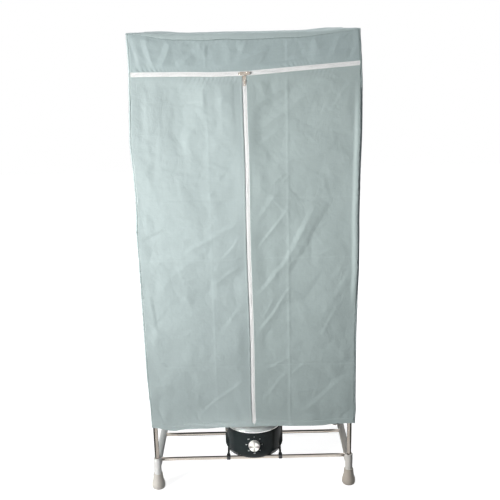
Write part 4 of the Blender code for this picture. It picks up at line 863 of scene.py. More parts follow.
# Creases read off the photograph, in mm on the front plane
HEADER_CREASES = (
    (-336, 1542, -309, 1448, 12, 2.2),
    (-295, 1538, -273, 1447, 15, 3.4),
    (-209, 1536, -249, 1447, 17, 3.6),
    (-204, 1447, -114, 1512, 16, 2.6),
    (-108, 1519, -110, 1443, 3, -0.6),
    (-150, 1447, -90, 1477, 10, 1.6),
    (-65, 1448, 170, 1519, 16, 3),
    (-11, 1435, 304, 1510, 18, -3),
    (55, 1434, 326, 1486, 14, 2.4),
    (343, 1549, 304, 1524, 4, -2.2),
    (18, 1540, -22, 1446, 15, 1.5),
    (92, 1534, 62, 1446, 13, -1.4),
    (158, 1545, 178, 1496, 11, 1.3),
    (222, 1540, 204, 1470, 15, 1.6),
    (296, 1548, 258, 1472, 13, 2.0),
    (332, 1536, 304, 1452, 11, -1.6),
    (308, 1449, 337, 1515, 10, 1.5),
    (43, 1446, 58, 1469, 4, 0.8),
    (-344, 1539, -323, 1472, 6, -1.4),
    (-223, 1543, -177, 1521, 5, 0.9),
    (-12, 1541, 27, 1528, 5, 0.9),
    (86, 1535, 89, 1509, 4, 0.9),
    (-123, 1514, -80, 1536, 5, 0.8),
    (188, 1466, 289, 1522, 8, 1),
)
LEFT_CREASES = (
    (-200, 1400, -215, 1180, 50, -5.5),
    (-345, 838, -5, 842, 42, 3.4),
    (-203, 1335, -133, 1343, 3.5, -1.6),
    (-155, 1330, -118, 1324, 3, -1.2),
    (-131, 1319, -110, 1303, 3, -1.2),
    (-116, 1396, -116, 1294, 9, -1.6),
    (-73, 1395, -72, 1250, 16, 1.8),
    (-93, 1354, -62, 1359, 3, 0.8),
    (-78, 1342, -65, 1356, 3, 0.8),
    (-36, 1406, -26, 1249, 7, -1.4),
    (-297, 1400, -293, 1153, 18, 1.6),
    (-239, 1411, -272, 1199, 20, -1.2),
    (-345, 1075, -335, 1026, 5, -1.5),
    (-340, 1042, -123, 1036, 4, -1.2),
    (-117, 1034, -3, 1036, 4, -1.4),
    (-119, 1047, -103, 1066, 4, 1.2),
    (-108, 1011, -70, 1026, 4, -1),
    (-346, 902, -261, 939, 9, -1.8),
    (-187, 874, -17, 963, 14, 1.8),
    (-195, 843, -4, 836, 3, 0.8),
    (-82, 845, -22, 920, 5, 1.4),
    (-43, 831, -33, 851, 3, 1),
    (-120, 757, -5, 823, 9, 1.6),
    (-312, 717, -304, 608, 9, -2.2),
    (-340, 631, -308, 598, 4, 1.8),
    (-335, 588, -308, 544, 7, 1.4),
    (-178, 286, -122, 330, 5, 1.4),
    (-122, 330, -4, 427, 7, 1.3),
    (-192, 298, -183, 252, 4, -1.2),
    (-333, 339, -300, 247, 5, -1.8),
    (-350, 358, -326, 339, 4, 1.2),
    (-256, 775, -139, 873, 16, 1.2),
    (-83, 596, -11, 700, 9, 1.2),
)
RIGHT_CREASES = (
    (27, 1417, 35, 1345, 6, -1.0),
    (25, 1294, 157, 1381, 22, -2.6),
    (157, 1381, 260, 1435, 18, -1.8),
    (52, 1260, 236, 1388, 20, 2),
    (324, 1410, 258, 1316, 6, 1.3),
    (337, 1386, 341, 691, 11, 3),
    (131, 1121, 80, 1084, 4, 1.3),
    (114, 1086, 137, 1111, 3, 1.2),
    (130, 1076, 168, 1027, 4, -1.1),
    (89, 1026, 123, 996, 4, 1.2),
    (123, 999, 32, 862, 5, 1.9),
    (212, 997, 121, 827, 14, 3.2),
    (121, 827, 25, 709, 12, 2.8),
    (263, 1015, 141, 792, 14, -2.2),
    (131, 823, 180, 839, 4, 1.3),
    (180, 839, 254, 860, 5, 1.2),
    (14, 943, 92, 1051, 12, 1.6),
    (23, 575, 130, 731, 7, 2.2),
    (34, 625, 74, 697, 5, 1.3),
    (57, 451, 128, 490, 4, 1.3),
    (71, 462, 118, 421, 3.5, 1.2),
    (128, 490, 172, 467, 3.5, 1.2),
    (131, 424, 178, 474, 3.5, 1.2),
    (165, 367, 209, 370, 3.5, 1),
    (178, 292, 300, 405, 12, 1.5),
    (301, 262, 339, 299, 4, -1.3),
    (232, 567, 284, 664, 8, 1.2),
    (35, 337, 124, 439, 9, 1.2),
    (271, 693, 335, 821, 10, 1.2),
    (26, 1192, 101, 1252, 10, 1.2),
    (186, 695, 238, 797, 10, -1.2),
)
UPRIGHT_LINES = ((-0.118, 0.5), (0.129, 1.0))
LEVEL_LINES = ((1.037, 0.5), (0.839, 0.6), (0.466, 0.8))

# Cover: sizes on the frame's own axes, in metres

COVER_X = 0.350
COVER_Y = 0.230
TOP_Z = 1.5495
RAIL_TOP = 1.5440
ROD_TOP = 1.5421
ROD_Y = 0.080
CLOTH = 0.0006
CORNER_ROUND = 0.0050
SEAM_INSET = 0.0056
SEAM_DIP = 0.0008
SEAM_REACH = 0.003
HALF_WIDTH = COVER_X - SEAM_INSET
RAIL_LEVEL = 1.49
HEM = 0.241
HEM_SWING = 0.002
HEM_PITCH = 0.46
HEM_BAND = 0.021
ZIP_Z = 1.4245
ZIP_LEFT_RISE = 0.004
ZIP_RIGHT_RISE = 0.0245
ZIP_TOP_LEAN = 0.0006
ZIP_FOOT_LEAN = 0.0062
ZIP_HALF = 0.007
ZIP_KINK = 0.006
ZIP_FOOT = 0.247
TAPE_HALF = 0.0088
TAPE_FACE = 0.2292
TAPE_GAP = 0.0001
TAPE_THICK = 0.0007
WELT = 0.0052
STITCH_INSET = 0.0026

# How far the cloth stands out beyond the posts at each corner: (height, mm)
LEFT_STANDOUT = (
    (0.26, -3.0), (0.31, -2.4), (0.36, 0.4), (0.45, 3.3), (0.62, 4.1), (0.79, 5.4), (0.93, 7.7),
    (0.99, 4.6), (1.045, 2.9), (1.12, 5.3), (1.217, 9.9), (1.29, 7.3), (1.364, 3.2), (1.435, -0.3),
    (1.475, -0.8), (1.54, 0.7),
)
RIGHT_STANDOUT = (
    (0.246, 4.0), (0.292, 6.6), (0.34, 5.1), (0.43, 4.7), (0.558, 4.1), (0.685, 6.1), (0.809, 9.5),
    (0.89, 9.2), (0.97, 7.8), (1.086, 8.8), (1.255, 11.9), (1.383, 10.9), (1.454, 7.8), (1.49, 5.1),
    (1.54, 1.6),
)


def standout(z, side):
    marks = np.array(LEFT_STANDOUT if side < 0 else RIGHT_STANDOUT)
    index = np.clip(np.searchsorted(marks[:, 0], z) - 1, 0, len(marks) - 2)
    share = (z - marks[index, 0]) / (marks[index + 1, 0] - marks[index, 0])
    return MM * (marks[index, 1] + (marks[index + 1, 1] - marks[index, 1]) * smooth(share))


def zip_height(x):
    """Height of the level zip's centre line; its kink is eased over a few centimetres."""
    slope_left, slope_right = -ZIP_LEFT_RISE / COVER_X, ZIP_RIGHT_RISE / COVER_X
    x = np.asarray(x, float)
    soft_right = ZIP_KINK * np.logaddexp(0, x / ZIP_KINK)
    soft_left = x - soft_right
    sag = 0.0018 * np.exp(-(((x + 0.095) / 0.045) ** 2))
    return ZIP_Z + slope_left * soft_left + slope_right * soft_right - 0.0004 - sag


def zip_place(z):
    """Where the upright zip's centre line is: it leans and sways a little."""
    z = np.asarray(z, float)
    slope = (ZIP_TOP_LEAN - ZIP_FOOT_LEAN) / (ZIP_Z - HEM)
    sway = 0.0013 * np.sin(TURN * (z - 0.42) / 0.62) * smooth((ZIP_Z - 0.10 - z) / 0.15)
    return ZIP_TOP_LEAN + slope * (z - ZIP_Z) + sway * smooth((z - ZIP_FOOT) / 0.1)


def hem_line(place):
    place = np.asarray(place, float)
    swing = HEM + HEM_SWING * np.cos(TURN * place / HEM_PITCH)
    return swing + 0.0010 * noise(place, place * 0, 0.03, 5)


def front_hem(x):
    """The front hem sags between the corners, most near the left post."""
    hanging = 0.0062 * smooth((0.335 - np.abs(x)) / 0.05) * smooth((0.30 - x) / 0.16)
    return hem_line(x) - hanging - 0.0045 * np.exp(-(((x + 0.272) / 0.035) ** 2))


def seam_drop(share, depth, seed):
    """How far a top edge seam hangs below its corners, for share from -1 to 1 along it."""
    share = np.asarray(share, float)
    bow = (1 - np.abs(share) ** 2.6) * depth
    waves = 0.12 * depth * noise(share, share * 0, 0.16, seed) * (1 - share**8)
    return 0.0022 + bow + waves


BELOW_TOP = 0.0006
EDGE_ROUND = 0.0080
FRONT_DROP = 0.0165
SIDE_DROP = 0.0120
BACK_DROP = 0.0140


def top_height(x, y):
    """The top panel on its hubs, rails and hanging rods."""
    in_x = smooth((0.336 - 0.034 - np.abs(x)) / 0.10)
    in_y = smooth((0.216 - 0.034 - np.abs(y)) / 0.07)
    flat = TOP_Z + 0.0005 - (TOP_Z + 0.0005 - RAIL_TOP) * np.maximum(in_x, in_y)
    between = -0.5 - 0.5 * np.cos(TURN * y / (2 * ROD_Y))
    near_rods = smooth((0.20 - np.abs(y)) / 0.03)
    sag = 0.0048 * between * near_rods + (ROD_TOP - RAIL_TOP) * near_rods * 0.6
    return flat + sag * in_x * in_y


def graded(low, high, count, start, end):
    """Grid places from start to end, one row each: the marks of low and high keep their own
    distances from either end, and the rest are even between them."""
    total = low[-1] + high[-1]
    middle = np.linspace(0, 1, count - len(low) - len(high) + 2)[1:-1]
    fixed = np.concatenate([low, np.full(len(middle), low[-1]), total - np.array(high)[::-1]])
    share = np.concatenate([np.zeros(len(low)), middle, np.ones(len(high))])
    return start + fixed[:, None] + share[:, None] * (end - start - total)


# Distances of the grid's lines from an edge
SEAM_MARKS = (0, 0.0008, 0.0018, 0.003, 0.0045, 0.007)
ZIP_MARKS = (0, 0.0008, 0.0018, 0.0026, 0.0034, 0.0044, 0.0052, 0.006, 0.008)
HEM_MARKS = (
    0, 0.001, 0.0025, 0.006, 0.011, 0.016, 0.0188, 0.0196, 0.0203, 0.021, 0.0217, 0.0226, 0.025,
)
CORNER_MARKS = (0, 0.0008, 0.0018, 0.003, 0.005, 0.007, 0.009, 0.011, 0.013, 0.016, 0.020)


def places_across(columns, rows):
    """x from seam to seam, the same in every row."""
    across = graded(SEAM_MARKS, SEAM_MARKS, columns, 0, 2 * HALF_WIDTH)[:, 0]
    return (across - HALF_WIDTH)[None, :] + np.zeros((rows, 1))


def with_corners(x, z):
    """Moves places of the front or back outwards, as the cloth's corners stand out."""
    out = np.where(x < 0, -standout(z, -1), standout(z, 1))
    return x + out * smooth(1 - (HALF_WIDTH - np.abs(x)) / 0.20)


def seam_dip(*distances):
    """How far the cloth is drawn in beside its seams."""
    return SEAM_DIP * sum(smooth((SEAM_REACH - away) / SEAM_REACH) for away in distances)


def kept_out(height, z, at_rails, below):
    """Cloth heights, no deeper than the rails allow above and the posts below."""
    return np.maximum(height, np.where(z > RAIL_LEVEL, at_rails, below))


def cloth_piece(name, points, fold_highlight, flipped=False, finish=CLOTH_FINISH):
    """A cloth, as an object and its grid, with the painted highlight of its fold lines."""
    made = sheet_mesh(name, points, CLOTH, finish, flipped)
    layer = made.data.attributes.new("painted_fold_highlight", "FLOAT", "POINT")
    values = np.tile(np.ravel(fold_highlight + 0 * points[..., 0]), 2)
    layer.data.foreach_set("value", values.astype(np.float32))
    in_scene(made)
    return made, points


def front_cloth(x, z, creases, seed):
    """Outward height and painted fold highlight of a front cloth."""
    low = (x.min() / MM, z.min() / MM)
    high = (x.max() / MM, z.max() / MM)
    strays = stray_creases(low, high, 26 if z.min() > 1 else 80, seed + 5)
    height = creases_over(x, z, list(creases) + strays, seed)
    folds, fold_highlight = press_lines(x, z, UPRIGHT_LINES, LEVEL_LINES, seed)
    height = height + folds + crumple(x, z, seed)
    return height + 0.0024 * noise(x * 1.2, z * 0.45, 0.16, seed + 30), fold_highlight


def hem_relief(above_hem, along, seed):
    """The doubled band of the hem, its stitched groove and the gathers beside it."""
    relief = puckers(np.abs(above_hem - HEM_BAND), along, 0.017, 0.010, 0.0007, seed)
    relief += 0.0008 * smooth((HEM_BAND - above_hem) / 0.0009)
    relief -= 0.0010 * np.exp(-(((above_hem - HEM_BAND + 0.0012) / 0.0010) ** 2))
    return relief + 0.0004 * smooth((0.0012 - above_hem) / 0.0012)


def welt_relief(distance):
    """A folded edge beside a zip: one more layer, held down by its stitches."""
    raised = 0.0003 * smooth((WELT - distance) / 0.0008)
    return raised - 0.0004 * np.exp(-(((distance - STITCH_INSET) / 0.0008) ** 2))


def build_flap(side_name, side, creases, seed):
    columns, rows = 104, 336
    far = side * HALF_WIDTH
    level = np.linspace(HEM, ZIP_Z, rows)
    for _ in range(3):
        parted = smooth((level - ZIP_FOOT) / 0.003)
        near = zip_place(level) + side * (0.0004 + (ZIP_HALF - 0.0004) * parted)
        across = graded(SEAM_MARKS, ZIP_MARKS, columns, 0, side * (far - near)).T
        x = far - side * across
        bottom, top = front_hem(x), zip_height(x) - ZIP_HALF
        z = graded(HEM_MARKS, ZIP_MARKS, rows, bottom, top)
        level = z.mean(1)
    height, fold_highlight = front_cloth(x, z, creases, seed)
    to_zip = np.abs(x - near[:, None])
    to_level = top - z
    to_seam = np.abs(far - x)
    inner = smooth((to_zip - 0.002) / 0.045) * smooth((to_level - 0.002) / 0.030)
    height = height * inner * (0.12 + 0.88 * smooth(to_seam / 0.045))
    gathers = puckers(to_zip, z, 0.0120, 0.008, 0.0012, seed + 50, 1.1)
    height += gathers * smooth((to_level - 0.002) / 0.01)
    gathers = puckers(to_level, x, 0.0125, 0.015, 0.0008, seed + 60)
    height += gathers * smooth((to_zip - 0.002) / 0.01)
    height += puckers(to_seam, z, 0.019, 0.010, 0.0005, seed + 70)
    height += hem_relief(z - bottom, x, seed + 80)
    height += np.maximum(welt_relief(to_zip), welt_relief(to_level)) + 0.0002
    if side > 0:
        lifted = smooth((z - 0.66) / 0.10) * smooth((1.40 - z) / 0.12)
        height += 0.0042 * lifted * smooth((0.020 - to_seam) / 0.013)
    height -= seam_dip(to_seam)
    place_x = x + side * standout(z, side) * smooth(1 - to_seam / 0.20)
    points = np.stack([place_x, -COVER_Y - np.maximum(height, -0.006), z], 2)
    # The right flap takes the copy of the cloth painted darker for its shade.
    finish = RIGHT_SHADE_FINISH if side > 0 else CLOTH_FINISH
    return cloth_piece("flap_cloth_" + side_name, points, fold_highlight * inner, side > 0, finish)


def build_header():
    columns, rows = 220, 54
    x = places_across(columns, rows)
    bottom = zip_height(x) + ZIP_HALF
    hanging = seam_drop(x / HALF_WIDTH, FRONT_DROP, 21) + BELOW_TOP
    top = top_height(x, -COVER_Y + 0 * x) - hanging
    z = graded(ZIP_MARKS, SEAM_MARKS, rows, bottom, top)
    height, fold_highlight = front_cloth(x, z, HEADER_CREASES, 11)
    to_zip, to_top, to_seam = z - bottom, top - z, HALF_WIDTH - np.abs(x)
    inner = smooth((to_zip - 0.003) / 0.018) * smooth((to_top - 0.001) / 0.014)
    height = height * inner * (0.12 + 0.88 * smooth(to_seam / 0.030))
    height += puckers(to_zip, x, 0.0130, 0.009, 0.0012, 71) * smooth(to_top / 0.01)
    height += puckers(to_top, x, 0.0160, 0.010, 0.0005, 72) * smooth(to_zip / 0.01)
    height += welt_relief(to_zip) + 0.0002
    height = kept_out(height - seam_dip(to_top, to_seam), z, -0.0006, -0.005)
    points = np.stack([with_corners(x, z), -COVER_Y - height, z], 2)
    # The header takes the copy of the cloth painted darker for its shade.
    return cloth_piece("header_cloth", points, fold_highlight * inner, finish=HEADER_SHADE_FINISH)


def side_plan(along):
    """(x, y, outward x, outward y) round a side wall, for lengths from its front seam."""
    lead = SEAM_INSET - CORNER_ROUND
    arc = CORNER_ROUND * math.pi / 2
    straight = 2 * (COVER_Y - CORNER_ROUND)
    places = np.cumsum([0, lead, arc, straight, arc, lead])
    turn = np.clip((along - places[1]) / arc, 0, 1) * math.pi / 2
    turn = turn + np.clip((along - places[3]) / arc, 0, 1) * math.pi / 2
    centre_x = COVER_X - CORNER_ROUND
    front = np.clip(along, 0, lead)
    middle = np.clip(along - places[2], 0, straight)
    rear = np.clip(along - places[4], 0, lead)
    x = HALF_WIDTH + front + CORNER_ROUND * np.sin(turn) - rear
    x = np.where(along > places[3], centre_x + CORNER_ROUND * np.sin(turn) - rear, x)
    y = -COVER_Y + CORNER_ROUND * (1 - np.cos(turn)) + middle
    return x, y, np.sin(turn), -np.cos(turn), places[-1]


def wall_relief(place, z, creases, levels, uprights, seeds, cell):
    """Outward height and painted fold highlight of a side or back wall's cloth."""
    height = creases_over(place, z, creases, seeds[0])
    folds, fold_highlight = press_lines(place, z, uprights, levels, seeds[1])
    height = height + folds + crumple(place, z, seeds[2])
    return height + 0.0040 * noise(place, z * 0.4, cell, seeds[3]), fold_highlight


def belly(z, depth):
    """The slow bulge of a wall between its top and its hem."""
    return depth * np.sin(math.pi * np.clip((z - HEM) / 1.3, 0, 1)) + 0.001


def build_side(side_name, side, seed, creases):
    columns, rows = 120, 300
    total = side_plan(np.zeros(1))[4]
    along = graded(CORNER_MARKS, CORNER_MARKS, columns, 0, total)[:, 0][None, :]
    x, y, out_x, out_y, _ = side_plan(along + np.zeros((rows, 1)))
    bottom = hem_line(y)
    share_y = np.clip(y / (COVER_Y - 0.012), -1, 1)
    top = top_height(COVER_X + 0 * y, y) - seam_drop(share_y, SIDE_DROP, 31 + seed) - BELOW_TOP
    z = graded(HEM_MARKS, SEAM_MARKS, rows, bottom, top)
    seeds = (seed, seed, seed, seed + 4)
    height, fold_highlight = wall_relief(y, z, creases, LEVEL_LINES, ((0.02, 0.8),), seeds, 0.15)
    height += belly(z, 0.006)
    away = smooth((COVER_Y - 0.024 - np.abs(y)) / 0.05)
    to_top = top - z
    inner = away * smooth(to_top / 0.03)
    height = height * inner
    height += puckers(to_top, y, 0.016, 0.012, 0.0010, seed + 72) * away
    height += hem_relief(z - bottom, y, seed + 80) * (0.3 + 0.7 * away)
    edge = np.minimum(along, total - along) + 0 * z
    height += puckers(edge, z, 0.019, 0.010, 0.0006, seed + 90)
    height = kept_out(height - seam_dip(to_top, edge), z, -0.0005, -0.0025)
    spread = 0.35 + 0.65 * smooth(np.abs(y) / COVER_Y * 2 - 1)
    x = x + height * out_x + standout(z, side) * spread
    points = np.stack([side * x, y + height * out_y, z], 2)
    return cloth_piece("side_cloth_" + side_name, points, fold_highlight * inner, side < 0)


def build_back():
    columns, rows = 140, 290
    x = places_across(columns, rows)
    bottom = hem_line(x)
    hanging = seam_drop(x / HALF_WIDTH, BACK_DROP, 41) + BELOW_TOP
    top = top_height(x, COVER_Y + 0 * x) - hanging
    z = graded(HEM_MARKS, SEAM_MARKS, rows, bottom, top)
    mirrored = [
        (-a, b + 60, -c, d + 60, width, height)
        for a, b, c, d, width, height in LEFT_CREASES + RIGHT_CREASES[1:]
    ]
    seeds = (14, 15, 16, 17)
    height, fold_highlight = wall_relief(x, z, mirrored, LEVEL_LINES, UPRIGHT_LINES, seeds, 0.17)
    height += belly(z, 0.004)
    to_seam, to_top = HALF_WIDTH - np.abs(x), top - z
    inner = smooth(to_seam / 0.05) * smooth(to_top / 0.03)
    height = height * inner
    height += puckers(to_top, x, 0.016, 0.012, 0.0012, 81)
    height += puckers(to_seam, z, 0.019, 0.010, 0.0008, 82)
    height += hem_relief(z - bottom, x, 83)
    height = kept_out(height - seam_dip(to_top, to_seam), z, -0.0006, -0.004)
    points = np.stack([with_corners(x, z), COVER_Y + height, z], 2)
    return cloth_piece("back_cloth", points, fold_highlight * inner, True)


def roll_over(share, half, drop):
    """Runs from the middle of the top to one edge, over it and down to the seam.
    Gives (place across, height lost) for share from 0 to 1."""
    radius = np.minimum(EDGE_ROUND, drop)
    flat = half - radius
    arc = radius * math.pi / 2
    rest = np.maximum(drop - radius, 0)
    a = share * (flat + arc + rest)
    turn = np.clip((a - flat) / np.maximum(arc, 1e-9), 0, 1) * math.pi / 2
    across = np.minimum(a, flat) + radius * np.sin(turn)
    lost = radius * (1 - np.cos(turn)) + np.clip(a - flat - arc, 0, None)
    return across, lost


def build_top():
    columns, rows = 176, 124

    def spaced(count):
        even = np.linspace(-1, 1, count)
        return np.sign(even) * (1 - (1 - np.abs(even)) ** 1.25)

    s = spaced(columns)[None, :] + np.zeros((rows, 1))
    t = spaced(rows)[:, None] + np.zeros((1, columns))
    front = seam_drop(s, FRONT_DROP, 21)
    rear = seam_drop(s, BACK_DROP, 41)
    across_x, lost_x = roll_over(np.abs(s), COVER_X, seam_drop(t, SIDE_DROP, 31))
    across_y, lost_y = roll_over(np.abs(t), COVER_Y, np.where(t < 0, front, rear))
    x = np.sign(s) * across_x
    y = np.sign(t) * across_y
    height = crumple(x, y, 91) * 0.6 + 0.0016 * noise(x, y, 0.12, 92)
    folds, fold_highlight = press_lines(x, y, UPRIGHT_LINES, ((0.02, 0.7),), 93)
    inner = smooth((0.31 - np.abs(x)) / 0.06) * smooth((0.205 - np.abs(y)) / 0.03)
    over_rods = np.exp(-(((np.abs(y) - ROD_Y) / 0.016) ** 2))
    height = np.maximum((height + folds) * inner, -0.0030 * (1 - over_rods)) + 0.0004 * over_rods
    fans = 0
    for corner_x, corner_y in itertools.product((-1, 1), (-1, 1)):
        du, dv = COVER_X - corner_x * x, COVER_Y - corner_y * y
        reach = np.hypot(du, dv)
        angle = np.arctan2(dv, du + 1e-6)
        drift = noise(reach, angle, 0.2, 95 + corner_x + 2 * corner_y)
        near = np.exp(-(((reach - 0.085) / 0.05) ** 2))
        fans = fans + 0.0010 * np.sin(angle * 11 + 3 * drift) * near
    z = top_height(x, y) + height + np.maximum(fans, -0.0004) - lost_x - lost_y
    edge_y = smooth((np.abs(t) - 0.965) / 0.02)
    edge_x = smooth((np.abs(s) - 0.975) / 0.015)

    def gathers(along, seed):
        phase = TURN * along / 0.016 + 6 * noise(along, along * 0, 0.05, seed)
        return 0.0004 * np.sin(phase) + 0.0004

    across_y, across_x = gathers(x, 96), gathers(y, 97)
    y = y + np.sign(t) * (across_y * edge_y + 0.0002)
    x = x + np.sign(s) * (across_x * edge_x + 0.0002)
    out = np.where(s < 0, -standout(z, -1), standout(z, 1))
    out = out * smooth(1 - (1 - np.abs(s)) * COVER_X / 0.20)
    points = np.stack([x + out * smooth((1.548 - z) / 0.004), y, z], 2)
    return cloth_piece("top_cloth", points, fold_highlight * inner)


SIDE_CREASES = (
    (-190, 1500, -60, 1330, 14, 2.4),
    (190, 1500, 70, 1300, 14, 2.2),
    (-150, 1250, 140, 1120, 16, -2.4),
    (-180, 1010, -20, 1160, 10, 1.8),
    (20, 1036, 150, 1090, 4, 1.5),
    (-120, 860, 30, 960, 8, 1.8),
    (30, 839, 160, 720, 12, 2.4),
    (-170, 700, -40, 830, 12, -2.0),
    (-60, 610, 60, 700, 5, 1.4),
    (-190, 560, -90, 470, 10, 1.8),
    (20, 466, 110, 530, 4, 1.4),
    (60, 300, 190, 430, 9, 1.6),
    (-160, 270, -90, 380, 6, -1.6),
    (120, 1240, 185, 1010, 12, 1.8),
    (-30, 1420, 60, 1440, 4, 1.0),
)
OTHER_SIDE_CREASES = [(-a, b, -c, d, w, h) for a, b, c, d, w, h in SIDE_CREASES]

SIDES = (("left", -1), ("right", 1))
# Each cloth's object and grid
CLOTHS = {
    "header": build_header(),
    "flap_left": build_flap("left", -1, LEFT_CREASES, 12),
    "flap_right": build_flap("right", 1, RIGHT_CREASES, 13),
    "side_left": build_side("left", -1, 101, SIDE_CREASES),
    "side_right": build_side("right", 1, 202, OTHER_SIDE_CREASES),
    "back": build_back(),
    "top": build_top(),
}
# What is sewn to each cloth
sewn = {name: [] for name in CLOTHS}

# Zips: woven tapes, interlocking teeth, sliders with pulls


def offset_line(line, offset):
    tangent = np.gradient(line, axis=0)
    tangent /= np.linalg.norm(tangent, axis=1, keepdims=True)
    return line + np.stack([-tangent[:, 1], tangent[:, 0]], 1) * offset


def strip(name, line, low, high, face):
    """A flat tape along a line in the front plane, from offset low to offset high."""
    grid = np.stack([offset_line(line, offset) for offset in np.linspace(low, high, 5)])
    x = with_corners(grid[..., 0], grid[..., 1])
    ripple = 0.00008 * noise(grid[..., 0] + grid[..., 1], x * 0, 0.012, 7)
    points = np.stack([x, -face - ripple, grid[..., 1]], 2)
    made = sheet_mesh(name, points, TAPE_THICK, TAPE_FINISH)
    tidy_mesh(made.data, 50)
    return made


def level_line(*ends):
    x = np.linspace(*sorted(ends), 160)
    return np.stack([x, zip_height(x)], 1)


def upright_line(start, end):
    z = np.linspace(start, end, 260)
    return np.stack([zip_place(z), z], 1)


TOOTH_PITCH = 0.0016
TOOTH_REACH = 0.0016
TOOTH_FACE = 0.2291
TOOTH_SIZES = {
    "Pitch": TOOTH_PITCH, "Length": 0.00154, "Width": 0.0012, "Height": 0.0042, "Wander": 0.04,
}
ZIP_TOP = ZIP_Z - 0.0012


def teeth(name, lines):
    """Rows of teeth on lines of the front plane."""
    paths = []
    for line in lines:
        x = with_corners(line[:, 0], line[:, 1])
        paths.append(np.stack([x, np.full(len(x), -TOOTH_FACE), line[:, 1]], 1))
    made = grow_along(name, paths, TOOTH_TREE, **TOOTH_SIZES)
    return made


def bend_with_flap(piece):
    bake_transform(piece)


half_pitch = TOOTH_PITCH / 2
whole = level_line(-HALF_WIDTH, HALF_WIDTH)
tape = strip("zip_tape_woven_header", whole, TAPE_GAP, TAPE_HALF, TAPE_FACE)
link(tape, "frame", "zip_tape", "zip_tape_header")
row = offset_line(level_line(-HALF_WIDTH, HALF_WIDTH - half_pitch), TOOTH_REACH)
sewn["header"] += [tape, link(teeth("zip_teeth_header", [row]), "frame")]
CORNER_X = float(zip_place(ZIP_Z))
for side_name, side in SIDES:
    body = side_name + "_flap"
    level = level_line(side * HALF_WIDTH, CORNER_X + side * 0.0006)
    across = strip("zip_tape_level_" + side_name, level, -TAPE_HALF, -TAPE_GAP, TAPE_FACE)
    link(across, None, "zip_tape")
    bend_with_flap(across)
    offsets = sorted((-side * TAPE_GAP, -side * TAPE_HALF))
    upright = upright_line(ZIP_FOOT - 0.009, ZIP_Z - 0.0006)
    down = strip("zip_tape_upright_" + side_name, upright, *offsets, TAPE_FACE - 0.0001)
    link(down, body, "zip_tape", "zip_tape_" + side_name)
    row = level_line(side * (HALF_WIDTH - half_pitch), CORNER_X + side * 0.0022)
    level_teeth = teeth("zip_teeth_level_" + side_name, [offset_line(row, -TOOTH_REACH)])
    bend_with_flap(level_teeth)
    lift = half_pitch if side > 0 else 0
    row = upright_line(ZIP_FOOT + 0.0010 + lift, ZIP_TOP - 0.0022 - half_pitch + lift)
    row = offset_line(row, -side * TOOTH_REACH)
    upright_teeth = link(teeth("zip_teeth_upright_" + side_name, [row]), body)
    sewn["flap_" + side_name] += [across, down, level_teeth, upright_teeth]

for place in ("main", "left", "right"):
    refined("zip_slider_" + place, ZIP_METAL, place + "_slider", "zip_metal", 0.00016)
    refined("zip_pull_" + place, ZIP_METAL, place + "_pull", "zip_metal", 0.00014)


# Seams: stitches, and the binding over the raw edges of the top and corner seams


# Grid lines that stitches follow, counted from a seam, the hem and a zip
SEAM_STITCH, HEM_STITCH, ZIP_STITCH = 3, 7, 4
TOP_STITCH = -1 - SEAM_STITCH
STITCH_RISE = 0.00012
STITCH_SIZES = {
    "Pitch": 0.0042, "Length": 0.0031, "Width": 0.0004, "Height": 0.0005, "Wander": 0.06,
}


def sew(name, flipped, columns, rows):
    """Stitches along chosen columns and rows of a cloth's grid."""
    points = CLOTHS[name][1]
    raised = points + surface_normals(points, flipped) * STITCH_RISE
    paths = [raised[:, index] for index in columns] + [raised[index] for index in rows]
    made = grow_along("stitches_" + name, paths, STITCH_TREE, **STITCH_SIZES)
    in_scene(made)
    sewn[name].append(made)
    return made


link(sew("header", False, (), (ZIP_STITCH - 1, TOP_STITCH)), "frame")
for side_name, side in SIDES:
    lines = (SEAM_STITCH, -ZIP_STITCH), (HEM_STITCH, -ZIP_STITCH)
    bend_with_flap(sew("flap_" + side_name, side > 0, *lines))
for name, flipped, columns in (
    ("side_left", True, ()),
    ("side_right", False, ()),
    ("back", True, (SEAM_STITCH, TOP_STITCH)),
):
    link(sew(name, flipped, columns, (HEM_STITCH, TOP_STITCH)), "frame")

BINDING_RADIUS = 0.0009
BINDING_INSET = 0.0004


def bind(cloth_name, name, path):
    """The narrow binding turned over the raw edges of a seam, a little inside the cover, painted
    darker as the seam's shadow line.
    """
    moved = np.array(path)
    at_side = np.abs(moved[:, 0]) > COVER_X - 0.001
    at_front = np.abs(moved[:, 1]) > COVER_Y - 0.002
    moved[:, 0] -= np.sign(moved[:, 0]) * BINDING_INSET * at_side
    moved[:, 1] -= np.sign(moved[:, 1]) * BINDING_INSET * at_front
    cord = bead(name, moved, BINDING_RADIUS, SEAM_SHADE_FINISH)
    sewn[cloth_name].append(link(cord, "frame", "cover_fabric"))


for place, name in (
    ("front", "header"), ("back", "back"), ("left", "side_left"), ("right", "side_right"),
):
    bind("top", "seam_top_" + place, CLOTHS[name][1][-1])
for side_name, _ in SIDES:
    name = "side_" + side_name
    for place, column in (("front", 0), ("back", -1)):
        path = CLOTHS[name][1][:, column]
        bind(name, "seam_corner_" + place + "_" + side_name, path)
for side_name, side in SIDES:
    flap = CLOTHS["flap_" + side_name][0]
    bend_with_flap(flap)
    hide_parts("flap_" + side_name)
for name in ("header", "side_left", "side_right", "back", "top"):
    link(CLOTHS[name][0], "frame", "cover_fabric", "cover_" + name)


top_rests = [
    "top_connector_" + end + "_" + side_name for end in ("front", "rear") for side_name, _ in SIDES
]
top_rests += ["hanging_rod_front_tube", "hanging_rod_rear_tube"]
for name, (cloth, points) in CLOTHS.items():
    "stretched" if name == "top" else "hung"

# Frame: tubes, feet, side bars and connectors

